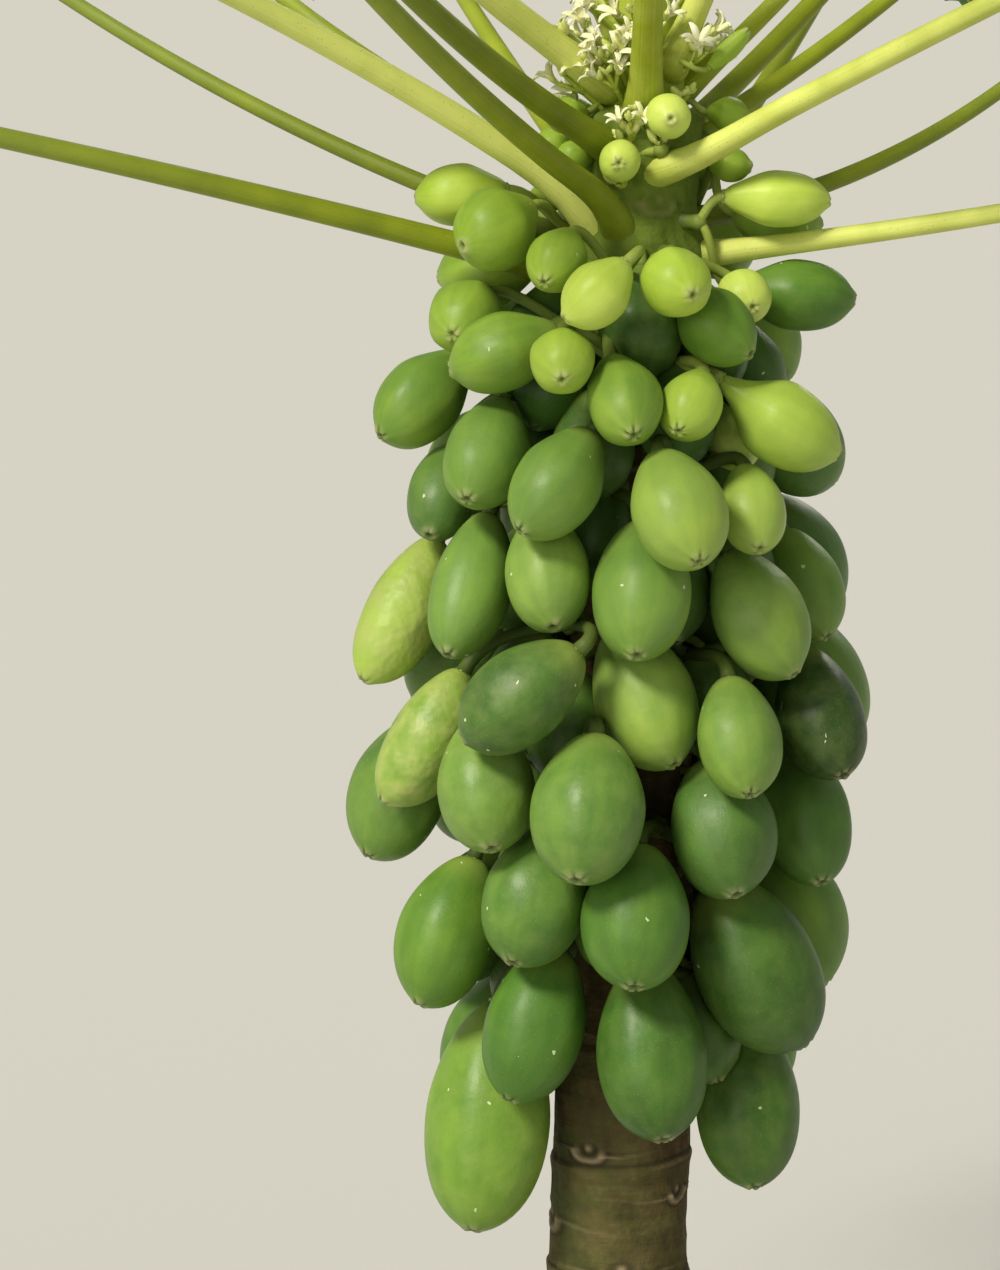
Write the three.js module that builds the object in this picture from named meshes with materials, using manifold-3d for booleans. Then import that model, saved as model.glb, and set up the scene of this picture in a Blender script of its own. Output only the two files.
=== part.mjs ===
// A papaya tree in full crop: one bare trunk, a column of hanging fruit and a crown of long-stalked
// palmate leaves. Millimetres, +Z up. The origin is the centre of the flat cut at ground level,
// +X points to the right of the side that the photograph shows, and that side faces -Y.
import * as THREE from "three";
import { mergeVertices } from "three/addons/utils/BufferGeometryUtils.js";
import Module from "manifold-3d";

const wasm = await Module();
wasm.setup();

// Driving sizes
const clearance = 0.3;
const trunk = {
  sides: 12,
  top: 1700, // where the bark ends and the green growing tip begins
  taperFrom: 1800, // from here the tip narrows to its end
  tip: 1880,
  lean: 0.016, // how far it leans to the right for each millimetre of height
  scarStep: 124, // height from one ring of leaf scars to the next
  scarRelief: 2.5,
  // height above the ground and radius there
  outline: [
    [0, 108], [35, 96], [90, 86], [200, 80], [560, 73], [1000, 68],
    [1450, 60], [1620, 50], [1700, 45], [1800, 32], [1880, 10],
  ],
  flare: [0, 35, 90], // heights of the rings at the root flare
  scarWidth: 9, // height over which the bark rises to a ring
};
const petiole = {
  baseRadius: 24,
  radius: 15,
  tipRadius: 9,
  leastSize: 0.55, // thickness of a stalk with no length, as a share of the longest one's
  sides: 6,
  segments: 4,
  inside: 14, // how far its axis starts inside the bark
};
// Each leaf's bearing round the trunk, its base's height, its stalk's rise in degrees above level,
// its stalk's length, and how many degrees the stalk turns up on its way out
const leaves = [
  [-76, 1519, 13, 950, -4],
  [80, 1545, 11, 950, 9],
  [155, 1556, 30, 850, 8],
  [-32, 1590, 28, 850, 15],
  [-158, 1570, 30, 850, 6],
  [122, 1580, 27, 830, 44],
  [-109, 1552, 26, 900, 20],
  [-68, 1586, 25, 900, -16],
  [180, 1622, 34, 830, 10],
  [51, 1634, 22, 900, -4],
  [142, 1650, 32, 860, 8],
  [-40, 1650, 32, 780, 24],
  [-124, 1612, 31, 850, 24],
  [118, 1654, 36, 780, 18],
  [0, 1680, 55, 710, 10],
  [-177, 1708, 46, 760, 6],
  [92, 1704, 50, 640, 16],
  [-62, 1714, 40, 690, 20],
  [50, 1728, 64, 590, 8],
  [-108, 1762, 62, 560, 6],
];
// Young leaves that stand up from the growing tip: bearing, rise and stalk length
const youngLeaves = [[175, 60, 480], [82, 70, 400], [-80, 74, 330], [140, 78, 260]];
const shoot = {
  below: 62, // from the tip's end down to the first young leaf
  step: 12, // and up from one to the next
  inside: 6,
  radii: [12, 8, 6],
  sides: 5,
  reach: 190, // length of the middle lobe
  open: 50, // degrees that the blade opens from its stalk's line
};
const blade = {
  reach: 375, // length of the middle lobe of a grown leaf
  leastSize: 0.45, // reach at the end of a stalk with no length, as a share of the longest one's
  thick: 6,
  sinus: 0.37, // where neighbouring lobes part, as a share of the lobe's length
  outerSinus: 20, // degrees from the last lobe to the notch beside it
  level: 12, // a stalk's rise, in degrees, at which the blade only nods
  follow: 0.5, // share of the stalk's further rise that the blade takes up
  nod: 26, // degrees that a grown blade's outer side hangs down
  seat: 0.2, // how far the blade sits above the stalk's axis, as a share of the tip's radius
  sag: 0.2, // how far a lobe's tip droops, as a share of its length
  lobes: [[0, 1], [43, 0.95], [87, 0.82], [132, 0.62]], // angle from the middle lobe, length share
  waist: [0.48, 0.14], // along the lobe and half width there, as shares of its length
  sideLobe: [0.64, 0.25],
  youngLobes: [[0, 1], [48, 0.85], [98, 0.6]],
};

// Fruit that the photograph shows, grouped by the stalk that each group shares. A row holds
// [across, forward, height] of the fruit's middle, its width and length, and its lean seen from
// the front: degrees from straight down, + with the tip to the right.
const seenFruit = [
  [[48, 74, 1690, 45, 50, 35], [-16, 84, 1650, 42, 50, -35]],
  [[-156, 20, 1610, 64, 96, -85], [-120, 95, 1580, 82, 98, -60]],
  [[160, 15, 1598, 56, 110, 88], [180, 20, 1512, 73, 124, 85]],
  [[-62, 148, 1550, 58, 80, -25], [-20, 182, 1514, 61, 80, -45]],
  [[46, 176, 1528, 68, 88, 50], [92, 150, 1483, 72, 100, 45], [126, 85, 1510, 54, 70, 30]],
  [[-153, 42, 1490, 74, 100, -35], [-112, 140, 1453, 78, 113, -70]],
  [[-56, 188, 1451, 66, 86, 0], [-2, 186, 1408, 72, 107, 15]],
  [[66, 190, 1402, 60, 78, -25], [164, 95, 1384, 90, 143, 55]],
  [[-198, 15, 1398, 82, 120, -45], [-135, 138, 1354, 85, 120, -20], [-180, 40, 1302, 72, 102, -15]],
  [[-60, 186, 1330, 92, 124, -35]],
  [[56, 200, 1310, 97, 131, 18], [118, 100, 1354, 60, 80, 20], [138, 145, 1297, 68, 92, 8]],
  [[-222, 20, 1172, 80, 152, -25], [-148, 137, 1213, 80, 144, -15]],
  [[-75, 188, 1227, 86, 116, 5], [20, 202, 1219, 98, 133, -3]],
  [[140, 148, 1180, 102, 143, 25], [202, 25, 1194, 80, 112, 20]],
  [[-198, 60, 1046, 84, 142, -28], [-100, 178, 1120, 100, 140, -50]],
  [[23, 190, 1104, 102, 143, 20], [120, 163, 1079, 88, 123, 8], [212, 25, 1080, 92, 128, 15]],
  [[-222, 20, 972, 98, 138, -20], [-135, 141, 1007, 100, 130, 5]],
  [[-30, 195, 1002, 116, 148, -8], [103, 163, 970, 108, 141, 10], [206, 20, 951, 96, 144, 10]],
  [[-172, 45, 831, 102, 153, -18], [-89, 160, 898, 107, 140, -15]],
  [[22, 180, 882, 109, 142, -3], [146, 90, 814, 127, 178, 25]],
  [[-84, 142, 759, 108, 151, -15], [-132, 60, 634, 130, 214, -5]],
  [[36, 157, 735, 110, 165, 5], [142, 50, 654, 108, 162, 3]],
];
// Fruit on the far side follows this rule, tier by tier
const hidden = {
  top: 1580,
  tierStep: 122,
  tiers: 8,
  perTier: [5, 4],
  spread: 38, // degrees from one fruit to the next
  narrow: 0.86, // width of the far side's column against its depth
  jitter: 0.08,
  turn: 12, // most degrees that a fruit swings from its place in the tier
  rise: 23, // most that a fruit sits above or below its tier
  seed: 5,
};
// Height above the ground, then the column's radius, and a fruit's width, and its droop below level
const columnRadius = [
  [500, 125], [650, 150], [800, 172], [950, 190],
  [1100, 204], [1300, 200], [1450, 180], [1620, 148],
];
const fruitWidth = [[560, 126], [1000, 119], [1200, 109], [1450, 92], [1600, 70]];
const fruitDroop = [
  [560, 80], [800, 68], [1000, 62], [1200, 60],
  [1300, 52], [1400, 40], [1500, 22], [1620, 6],
];
// Share of a fruit's shown length that is hidden besides, at its stalk, by the fruit above it
const fruitTucked = [[1350, 0.12], [1500, 0]];
const fruit = {
  sides: 6,
  plump: 1.06, // makes up for the flats between a solid's corners
  ratio: 1.42, // length over width
  // share of the length from the stalk, share of the half width
  outline: [[0, 0.2], [0.17, 0.7], [0.5, 1], [0.84, 0.8], [1, 0.2]],
  ball: 0.5, // radius of the ball that stands for its middle, as a share of its width
  endBall: 0.42, // and of the balls at its ends
  endInset: 0.4, // how far in from its ends their middles lie, as a share of its width
};
// How the fruit are pushed apart
const settling = {
  rounds: 320,
  drawnRounds: 0.6, // share of the rounds in which a fruit is also drawn back
  drawn: 0.03, // share of the way that it is drawn back each time
  push: 0.12, // share of an overlap that a fruit moves each time
  firmPush: 0.3, // the same for what it overlaps of the trunk or a leaf's stalk
  near: 270, // fruit whose middles are further apart can't touch
  gap: 5, // between fruit that press on each other
  trunkGap: 4,
  petioleGap: 3,
};
const stalk = {
  radius: 8,
  pull: 0.35, // how strongly it bows, as a share of its length
  knuckleRadius: 15,
  knuckleTaper: 0.8,
  knuckleLength: 26,
  inside: 12, // how far the knuckle starts inside the bark
  straight: 55, // a stalk shorter than this has no bend
  // how far above the shoulders of its fruit a stalk may leave the trunk
  raises: [22, 40, 6, -14, 60, -34, 80, -54],
  turns: [0, 16, -16, 32, -32, 48, -48, 64, -64], // and how many degrees to the side
};
// Flowering twigs on the growing tip: bearing, height and length
const twigs = [[-24, 1716, 78], [50, 1722, 80], [140, 1722, 80], [-140, 1726, 76]];
const bud = {
  radius: 9,
  twigRadius: 4.5,
  rise: 38,
  inside: 8, // how far the twig starts inside the stem
  spread: 42, // degrees to the side, and lift is degrees up, from one of the three buds to the next
  lift: 14,
  arm: [-0.04, 0.25, 0.4, 0.5], // places of the rings along a bud's arm, as shares of the twig's length
};

// Value at x of a line through [x, value] pairs, level beyond both ends
function along(pairs, x) {
  if (x <= pairs[0][0]) return pairs[0][1];
  for (let i = 1; i < pairs.length; i += 1) {
    const [x0, v0] = pairs[i - 1];
    const [x1, v1] = pairs[i];
    if (x <= x1) return v0 + ((v1 - v0) * (x - x0)) / (x1 - x0);
  }
  return pairs[pairs.length - 1][1];
}

// Numbers from -1 to 1 that are the same on every run
function seeded(seed) {
  let state = seed;
  return () => {
    state = (state * 1664525 + 1013904223) % 4294967296;
    return (2 * state) / 4294967296 - 1;
  };
}

const radians = THREE.MathUtils.degToRad;

// Direction at a bearing, tilted up by rise: bearing 0 faces the viewer and 90 points right
function direction(bearing, rise = 0) {
  const level = Math.cos(radians(rise));
  return new THREE.Vector3(
    Math.sin(radians(bearing)) * level,
    -Math.cos(radians(bearing)) * level,
    Math.sin(radians(rise)),
  );
}

const trunkMiddle = (height) => new THREE.Vector3(trunk.lean * height, 0, height);

const skinAt = (height) => along(trunk.outline, height);

// Point at a distance from the trunk's middle line
const besideTrunk = (out, far, height) => trunkMiddle(height).addScaledVector(out, far);

function solidOf(corners, faces) {
  const geometry = new THREE.BufferGeometry();
  const numbers = corners.flatMap((corner) => corner.toArray());
  geometry.setAttribute("position", new THREE.Float32BufferAttribute(numbers, 3));
  geometry.setIndex(faces.flat());
  const merged = mergeVertices(geometry, 1e-4);
  return new wasm.Manifold(
    new wasm.Mesh({
      numProp: 3,
      vertProperties: merged.attributes.position.array,
      triVerts: new Uint32Array(merged.index.array),
    }),
  );
}

function geometryFrom(solid) {
  const mesh = solid.getMesh();
  const geometry = new THREE.BufferGeometry();
  geometry.setAttribute("position", new THREE.Float32BufferAttribute(mesh.vertProperties, mesh.numProp));
  geometry.setIndex(new THREE.Uint32BufferAttribute(mesh.triVerts, 1));
  geometry.computeVertexNormals();
  return geometry;
}

// A closed solid through rings that all have the same number of corners
function skin(rings) {
  const sides = rings[0].length;
  const faces = [];
  for (let i = 0; i + 1 < rings.length; i += 1) {
    for (let k = 0; k < sides; k += 1) {
      const a = i * sides + k;
      const b = i * sides + ((k + 1) % sides);
      faces.push([a, b, b + sides], [a, b + sides, a + sides]);
    }
  }
  const last = (rings.length - 1) * sides;
  for (let k = 1; k + 1 < sides; k += 1) faces.push([0, k + 1, k], [last, last + k, last + k + 1]);
  return solidOf(rings.flat(), faces);
}

function ring(middle, radius, across, other, sides) {
  return Array.from({ length: sides }, (_, k) => {
    const angle = (2 * Math.PI * k) / sides;
    return middle
      .clone()
      .addScaledVector(across, radius * Math.cos(angle))
      .addScaledVector(other, radius * Math.sin(angle));
  });
}

// A closed tube through points, with a radius at each, whose rings don't twist
function sweep(points, radii, sides) {
  const upright = Math.abs(points[1].clone().sub(points[0]).normalize().z) > 0.9;
  let across = upright ? new THREE.Vector3(1, 0, 0) : new THREE.Vector3(0, 0, 1);
  return skin(
    points.map((point, i) => {
      const before = points[Math.max(i - 1, 0)];
      const after = points[Math.min(i + 1, points.length - 1)];
      const tangent = after.clone().sub(before).normalize();
      across = across.clone().addScaledVector(tangent, -across.dot(tangent)).normalize();
      return ring(point, radii[i], across, tangent.clone().cross(across), sides);
    }),
  );
}

// A length of trunk between two heights, with level rings
function trunkLength(heights, grown, ridges) {
  const x = new THREE.Vector3(1, 0, 0);
  const y = new THREE.Vector3(0, 1, 0);
  return skin(
    heights.map((height, i) => {
      const radius = skinAt(height) + grown + (ridges[i] ?? 0);
      return ring(trunkMiddle(height), radius, x, y, trunk.sides);
    }),
  );
}

// Heights from the flat cut at ground level to the end of the bark, and how far the bark stands out
// there: it has a low ring at each leaf scar
function barkRings() {
  const heights = [...trunk.flare];
  const ridges = heights.map(() => 0);
  const foot = heights[heights.length - 1];
  for (let z = foot + trunk.scarStep; z < trunk.top - 2 * trunk.scarWidth; z += trunk.scarStep) {
    heights.push(z - trunk.scarWidth, z);
    ridges.push(0, trunk.scarRelief);
  }
  return { heights: [...heights, trunk.top], ridges };
}

function trunkSolid() {
  const { heights, ridges } = barkRings();
  return trunkLength(heights, 0, ridges);
}

// What is cut from everything that meets the trunk, so that it stands clear
function trunkSpace() {
  const { heights, ridges } = barkRings();
  return trunkLength([...heights, trunk.taperFrom, trunk.tip], clearance, ridges);
}

// A thin palmate blade: lobes spread like fingers round the stalk's end, and their tips droop
function bladeSolid(centre, out, side, reach, halfLobes) {
  const normal = out.clone().cross(side);
  const place = (angle, far, wide, lift = 0) => {
    const a = radians(angle);
    const ahead = far * Math.cos(a) - wide * Math.sin(a);
    const beside = far * Math.sin(a) + wide * Math.cos(a);
    const sag = (blade.sag * far * far) / reach;
    return centre
      .clone()
      .addScaledVector(out, ahead)
      .addScaledVector(side, beside)
      .addScaledVector(normal, lift - sag);
  };
  const lobes = [...halfLobes.slice(1).reverse().map(([angle, share]) => [-angle, share]), ...halfLobes];
  // the notch after lobe i, and before the first one
  const notch = (i) => {
    const [a0, share0] = lobes[Math.max(i, 0)];
    const [a1, share1] = lobes[Math.min(i + 1, lobes.length - 1)];
    const outer = i < 0 ? a0 - blade.outerSinus : a0 + blade.outerSinus;
    return place(a0 === a1 ? outer : (a0 + a1) / 2, (blade.sinus * reach * (share0 + share1)) / 2, 0);
  };
  const half = blade.thick / 2;
  const corners = [place(0, 0, 0, half), place(0, 0, 0, -half), notch(-1)];
  const faces = [[2, 0, 1]];
  let right = 2;
  lobes.forEach(([angle, share], i) => {
    const length = reach * share;
    const [waistAt, waistHalf] = blade.waist.map((s) => s * length);
    const [sideAt, sideHalf] = blade.sideLobe.map((s) => s * length);
    const over = corners.length;
    corners.push(place(angle, waistAt, 0, half), place(angle, waistAt, 0, -half));
    const rim = [right];
    rim.push(corners.push(place(angle, waistAt, -waistHalf)) - 1);
    rim.push(corners.push(place(angle, sideAt, -sideHalf)) - 1);
    rim.push(corners.push(place(angle, length, 0)) - 1);
    rim.push(corners.push(place(angle, sideAt, sideHalf)) - 1);
    rim.push(corners.push(place(angle, waistAt, waistHalf)) - 1);
    rim.push(corners.push(notch(i)) - 1);
    const left = rim[rim.length - 1];
    faces.push([0, right, over], [0, over, left], [1, over + 1, right], [1, left, over + 1]);
    for (let k = 0; k + 1 < rim.length; k += 1) {
      faces.push([rim[k], rim[k + 1], over], [rim[k + 1], rim[k], over + 1]);
    }
    right = left;
  });
  faces.push([0, right, 1]);
  return solidOf(corners, faces);
}

// Points along a leaf's stalk from inside the trunk to the blade
function petiolePoints([bearing, height, rise, length, bend]) {
  const points = [besideTrunk(direction(bearing), skinAt(height) - petiole.inside, height)];
  for (let i = 0; i < petiole.segments; i += 1) {
    const tilt = rise + bend * ((i + 0.5) / petiole.segments - 0.5);
    points.push(points[i].clone().addScaledVector(direction(bearing, tilt), length / petiole.segments));
  }
  return points;
}

function petioleSolid(leaf, grown) {
  const size = petiole.leastSize + ((1 - petiole.leastSize) * leaf[3]) / leaves[0][3];
  const radii = [petiole.baseRadius * size + grown];
  for (let i = 1; i <= petiole.segments; i += 1) {
    const t = i / petiole.segments;
    radii.push((petiole.radius + (petiole.tipRadius - petiole.radius) * t) * size + grown);
  }
  return sweep(petiolePoints(leaf), radii, petiole.sides);
}

function leafSolid(leaf) {
  const [bearing, , rise, length] = leaf;
  const end = petiolePoints(leaf)[petiole.segments];
  const out = direction(bearing, blade.follow * (rise - blade.level) - blade.nod);
  const side = direction(bearing + 90);
  const reach = blade.reach * (blade.leastSize + ((1 - blade.leastSize) * length) / leaves[0][3]);
  end.addScaledVector(out.clone().cross(side), petiole.tipRadius * blade.seat);
  return petioleSolid(leaf, 0).add(bladeSolid(end, out, side, reach, blade.lobes));
}

// The fruit's axis from its lean and droop, turned towards the viewer where it can be
function axisFromLean(lean, droop) {
  const down = Math.sin(radians(droop));
  const level = Math.cos(radians(droop));
  const sideways = Math.tan(radians(lean)) * down;
  if (Math.abs(sideways) > level) {
    return new THREE.Vector3(Math.sin(radians(lean)), 0, -Math.cos(radians(lean)));
  }
  return new THREE.Vector3(sideways, -Math.sqrt(level ** 2 - sideways ** 2), -down);
}

function frontFruit() {
  return seenFruit.map((rows) =>
    rows.map(([across, forward, height, wide, long, lean]) => {
      const axis = axisFromLean(lean, along(fruitDroop, height));
      const tucked = long * along(fruitTucked, height);
      return {
        middle: new THREE.Vector3(across, -forward, height).addScaledVector(axis, -tucked / 2),
        axis,
        wide,
        long: long + tucked,
        give: new THREE.Vector3(0.1, 1, 0.1), // it moves in depth, and stays where it shows
      };
    }),
  );
}

function farFruit() {
  const vary = seeded(hidden.seed);
  const groups = [];
  for (let tier = 0; tier < hidden.tiers; tier += 1) {
    const count = hidden.perTier[tier % hidden.perTier.length];
    const members = [];
    for (let i = 0; i < count; i += 1) {
      const bearing = 180 + (i - (count - 1) / 2) * hidden.spread + hidden.turn * vary();
      const height = hidden.top - tier * hidden.tierStep + hidden.rise * vary();
      const wide = along(fruitWidth, height) * (1 + hidden.jitter * vary());
      const out = direction(bearing).multiply(new THREE.Vector3(hidden.narrow, 1, 1));
      members.push({
        middle: besideTrunk(out, along(columnRadius, height), height),
        axis: direction(bearing, -along(fruitDroop, height) * (1 + hidden.jitter * vary())),
        wide,
        long: wide * fruit.ratio,
        give: new THREE.Vector3(1, 1, 1),
      });
    }
    const half = Math.ceil(count / 2);
    groups.push(members.slice(0, half), members.slice(half));
  }
  return groups;
}

// Three balls stand for a fruit while the fruit are pushed apart
function ballsOf({ middle, axis, wide, long }) {
  const reach = long / 2 - wide * fruit.endInset;
  return [-1, 0, 1].map((k) => ({
    centre: middle.clone().addScaledVector(axis, k * reach),
    radius: wide * (k === 0 ? fruit.ball : fruit.endBall),
  }));
}

// Fruit that overlap another, the trunk or a leaf's stalk are pushed clear, a little at a time,
// and until they are nearly clear they are also drawn back to where they started
function settle(all, limbs) {
  for (const one of all) one.home = one.middle.clone();
  for (let round = 0; round < settling.rounds; round += 1) {
    const balls = all.map(ballsOf);
    const pushes = all.map(() => new THREE.Vector3());
    for (let i = 0; i < all.length; i += 1) {
      for (let j = i + 1; j < all.length; j += 1) {
        if (all[i].middle.distanceTo(all[j].middle) > settling.near) continue;
        for (const a of balls[i]) {
          for (const b of balls[j]) {
            const apart = a.centre.clone().sub(b.centre);
            const deep = a.radius + b.radius + settling.gap - apart.length();
            if (deep <= 0) continue;
            apart.setLength(deep * settling.push);
            pushes[i].add(apart);
            pushes[j].sub(apart);
          }
        }
      }
      for (const a of balls[i]) {
        const apart = a.centre.clone().sub(trunkMiddle(a.centre.z));
        const bark = skinAt(a.centre.z) + trunk.scarRelief + settling.trunkGap;
        const deep = bark + a.radius - apart.length();
        if (deep > 0) pushes[i].add(apart.setLength(deep * settling.firmPush));
        for (const limb of limbs) {
          const away = a.centre.clone().sub(limb.closestPointToPoint(a.centre, true, new THREE.Vector3()));
          const into = petiole.radius + settling.petioleGap + a.radius - away.length();
          if (into > 0) pushes[i].add(away.setLength(into * settling.firmPush));
        }
      }
    }
    const drawn = round < settling.rounds * settling.drawnRounds ? settling.drawn : 0;
    all.forEach((one, i) => one.middle.add(pushes[i].multiply(one.give)).lerp(one.home, drawn));
  }
}

// One fruit with its own stalk, from the group's knuckle to the fruit's tip
function fruitSolid({ middle, axis, wide, long }, start, out) {
  const shoulder = middle.clone().addScaledVector(axis, -long / 2);
  const gap = shoulder.distanceTo(start);
  const curve = new THREE.CubicBezierCurve3(
    start,
    start.clone().addScaledVector(out, gap * stalk.pull),
    shoulder.clone().addScaledVector(axis, -gap * stalk.pull),
    shoulder,
  );
  const points = (gap < stalk.straight ? [0] : [0, 0.5]).map((t) => curve.getPoint(t));
  const radii = points.map(() => stalk.radius);
  fruit.outline.forEach(([t, share]) => {
    points.push(shoulder.clone().addScaledVector(axis, t * long));
    radii.push((share * wide * fruit.plump) / 2);
  });
  return sweep(points, radii, fruit.sides);
}

// A group of fruit on one stalk. The stalk leaves the trunk turned and raised from the group's own
// bearing and height.
function clusterSolid(members, turn, raise) {
  const mean = new THREE.Vector3();
  for (const { middle, axis, long } of members) {
    mean.add(middle).addScaledVector(axis, -long / 2);
  }
  mean.divideScalar(members.length);
  const height = mean.z + raise;
  const out = mean.sub(trunkMiddle(mean.z)).setZ(0).normalize();
  out.applyAxisAngle(new THREE.Vector3(0, 0, 1), turn);
  const bark = skinAt(height);
  const root = besideTrunk(out, bark - stalk.inside, height);
  const end = besideTrunk(out, bark + stalk.knuckleLength, height);
  const inner = besideTrunk(out, bark + stalk.knuckleLength / 2, height);
  return wasm.Manifold.union([
    sweep([root, end], [stalk.knuckleRadius, stalk.knuckleRadius * stalk.knuckleTaper], fruit.sides),
    ...members.map((one) => fruitSolid(one, inner, out)),
  ]);
}

const shared = (a, b) => a.intersect(b).volume();

// Tries the stalk in a few places and keeps the one that runs into least
function clearCluster(members, taken) {
  let best = null;
  for (const raise of stalk.raises) {
    for (const turn of stalk.turns) {
      const solid = clusterSolid(members, radians(turn), raise);
      const bad = taken.reduce((sum, other) => sum + shared(solid, other), 0);
      if (!best || bad < best.bad) best = { solid, bad };
      if (bad === 0) return solid;
    }
  }
  return best.solid;
}

// A twig that forks into three, with a bud on each
function twigSolid([bearing, height, length]) {
  const start = besideTrunk(direction(bearing), skinAt(height) - bud.inside, height);
  const fork = start.clone().addScaledVector(direction(bearing, bud.rise), length / 2);
  const thin = bud.twigRadius;
  const arms = [-1, 0, 1].map((turn) => {
    const aim = direction(bearing + bud.spread * turn, bud.rise + bud.lift * turn);
    const places = bud.arm.map((far) => fork.clone().addScaledVector(aim, far * length));
    return sweep(places, [thin, thin, bud.radius, thin], 3);
  });
  return wasm.Manifold.union([sweep([start, fork], [thin, thin], 4), ...arms]);
}

// The green stem above the bark, with flowering twigs and the youngest leaves standing up from it
function growingTipSolid(petioleSpaces) {
  const foot = trunk.top + clearance;
  const pieces = [trunkLength([foot, trunk.taperFrom, trunk.tip], 0, [])];
  youngLeaves.forEach(([bearing, rise, length], k) => {
    const start = besideTrunk(direction(bearing), shoot.inside, trunk.tip - shoot.below + shoot.step * k);
    const end = start.clone().addScaledVector(direction(bearing, rise), length);
    const size = length / youngLeaves[0][2];
    const radii = shoot.radii.map((radius) => radius * size);
    pieces.push(sweep([start, start.clone().lerp(end, 0.5), end], radii, shoot.sides));
    const out = direction(bearing, rise - shoot.open);
    pieces.push(bladeSolid(end, out, direction(bearing + 90), shoot.reach * size, blade.youngLobes));
  });
  return wasm.Manifold.union([...pieces, ...twigs.map((twig) => twigSolid(twig).subtract(petioleSpaces))]);
}

const materials = {
  bark: new THREE.MeshStandardMaterial({ color: 0x7a7048, roughness: 0.9, metalness: 0 }),
  leaf: new THREE.MeshStandardMaterial({ color: 0x3d6b24, roughness: 0.55, metalness: 0 }),
  young: new THREE.MeshStandardMaterial({ color: 0x9fbf3a, roughness: 0.5, metalness: 0 }),
  fruit: new THREE.MeshStandardMaterial({ color: 0x4f8a2c, roughness: 0.4, metalness: 0 }),
};

const tree = new THREE.Group();
function addNode(name, solid, material) {
  const mesh = new THREE.Mesh(geometryFrom(solid), material.clone());
  mesh.name = name;
  tree.add(mesh);
}
const numbered = (name, i) => `${name}_${String(i + 1).padStart(2, "0")}`;

// The largest piece of a solid, so that a cut leaves no crumbs
const whole = (solid) => solid.decompose().sort((a, b) => b.volume() - a.volume())[0];

const space = trunkSpace();
const petioleSpace = leaves.map((leaf) => petioleSolid(leaf, clearance));
const petioleSpaces = wasm.Manifold.union(petioleSpace);
const limbs = leaves.map(petiolePoints).map((points) => new THREE.Line3(points[0], points[2]));

addNode("trunk", trunkSolid(), materials.bark);
addNode("growing_tip", whole(growingTipSolid(petioleSpaces)), materials.young);
leaves.forEach((leaf, i) => {
  const older = petioleSpace.slice(0, i).reduce((solid, other) => solid.subtract(other), leafSolid(leaf));
  addNode(numbered("leaf", i), whole(older.subtract(space)), materials.leaf);
});

const groups = [...frontFruit(), ...farFruit()];
settle(groups.flat(), limbs);
const taken = [petioleSpaces];
groups.forEach((members, i) => {
  const cluster = clearCluster(members, taken).subtract(space).subtract(petioleSpaces);
  const solid = whole(cluster);
  taken.push(solid);
  addNode(numbered("fruit_cluster", i), solid, materials.fruit);
});

export default tree;
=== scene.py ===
import math
import bpy
import numpy as np
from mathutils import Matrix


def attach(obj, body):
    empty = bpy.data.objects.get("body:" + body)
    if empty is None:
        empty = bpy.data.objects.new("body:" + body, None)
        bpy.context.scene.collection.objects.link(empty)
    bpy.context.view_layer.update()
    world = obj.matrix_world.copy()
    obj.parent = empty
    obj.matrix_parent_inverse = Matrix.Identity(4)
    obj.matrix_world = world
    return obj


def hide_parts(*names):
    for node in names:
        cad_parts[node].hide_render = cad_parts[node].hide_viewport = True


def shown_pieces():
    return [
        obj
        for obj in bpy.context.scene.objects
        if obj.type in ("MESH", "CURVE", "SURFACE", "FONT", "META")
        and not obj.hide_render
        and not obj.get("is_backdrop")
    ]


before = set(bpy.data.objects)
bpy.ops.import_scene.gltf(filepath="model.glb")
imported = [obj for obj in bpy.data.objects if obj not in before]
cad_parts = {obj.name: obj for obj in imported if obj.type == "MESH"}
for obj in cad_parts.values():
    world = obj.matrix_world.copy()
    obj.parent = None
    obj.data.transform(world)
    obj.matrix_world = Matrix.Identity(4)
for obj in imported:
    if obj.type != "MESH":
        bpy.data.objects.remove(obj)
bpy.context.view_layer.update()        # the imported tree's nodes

print("frame loaded,", len(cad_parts), "nodes")

# Sizes are in millimetres, as in the tree's source, and copyOf makes them metres.
# Bearing 0 faces the camera and 90 points right.

# The source's rule, written again

trunk = {
    "top": 1700,        # where the bark ends and the green tip begins
    "tip": 1880,
    "lean": 0.016,
    "scarStep": 124,
    "scarRelief": 2.5,
    "outline": [(0, 108), (35, 96), (90, 86), (200, 80), (560, 73), (1000, 68), (1450, 60),
                (1620, 50), (1700, 45), (1800, 32), (1880, 10)],
}
petiole = {"radius": 15, "tipRadius": 9, "inside": 14}
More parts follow.
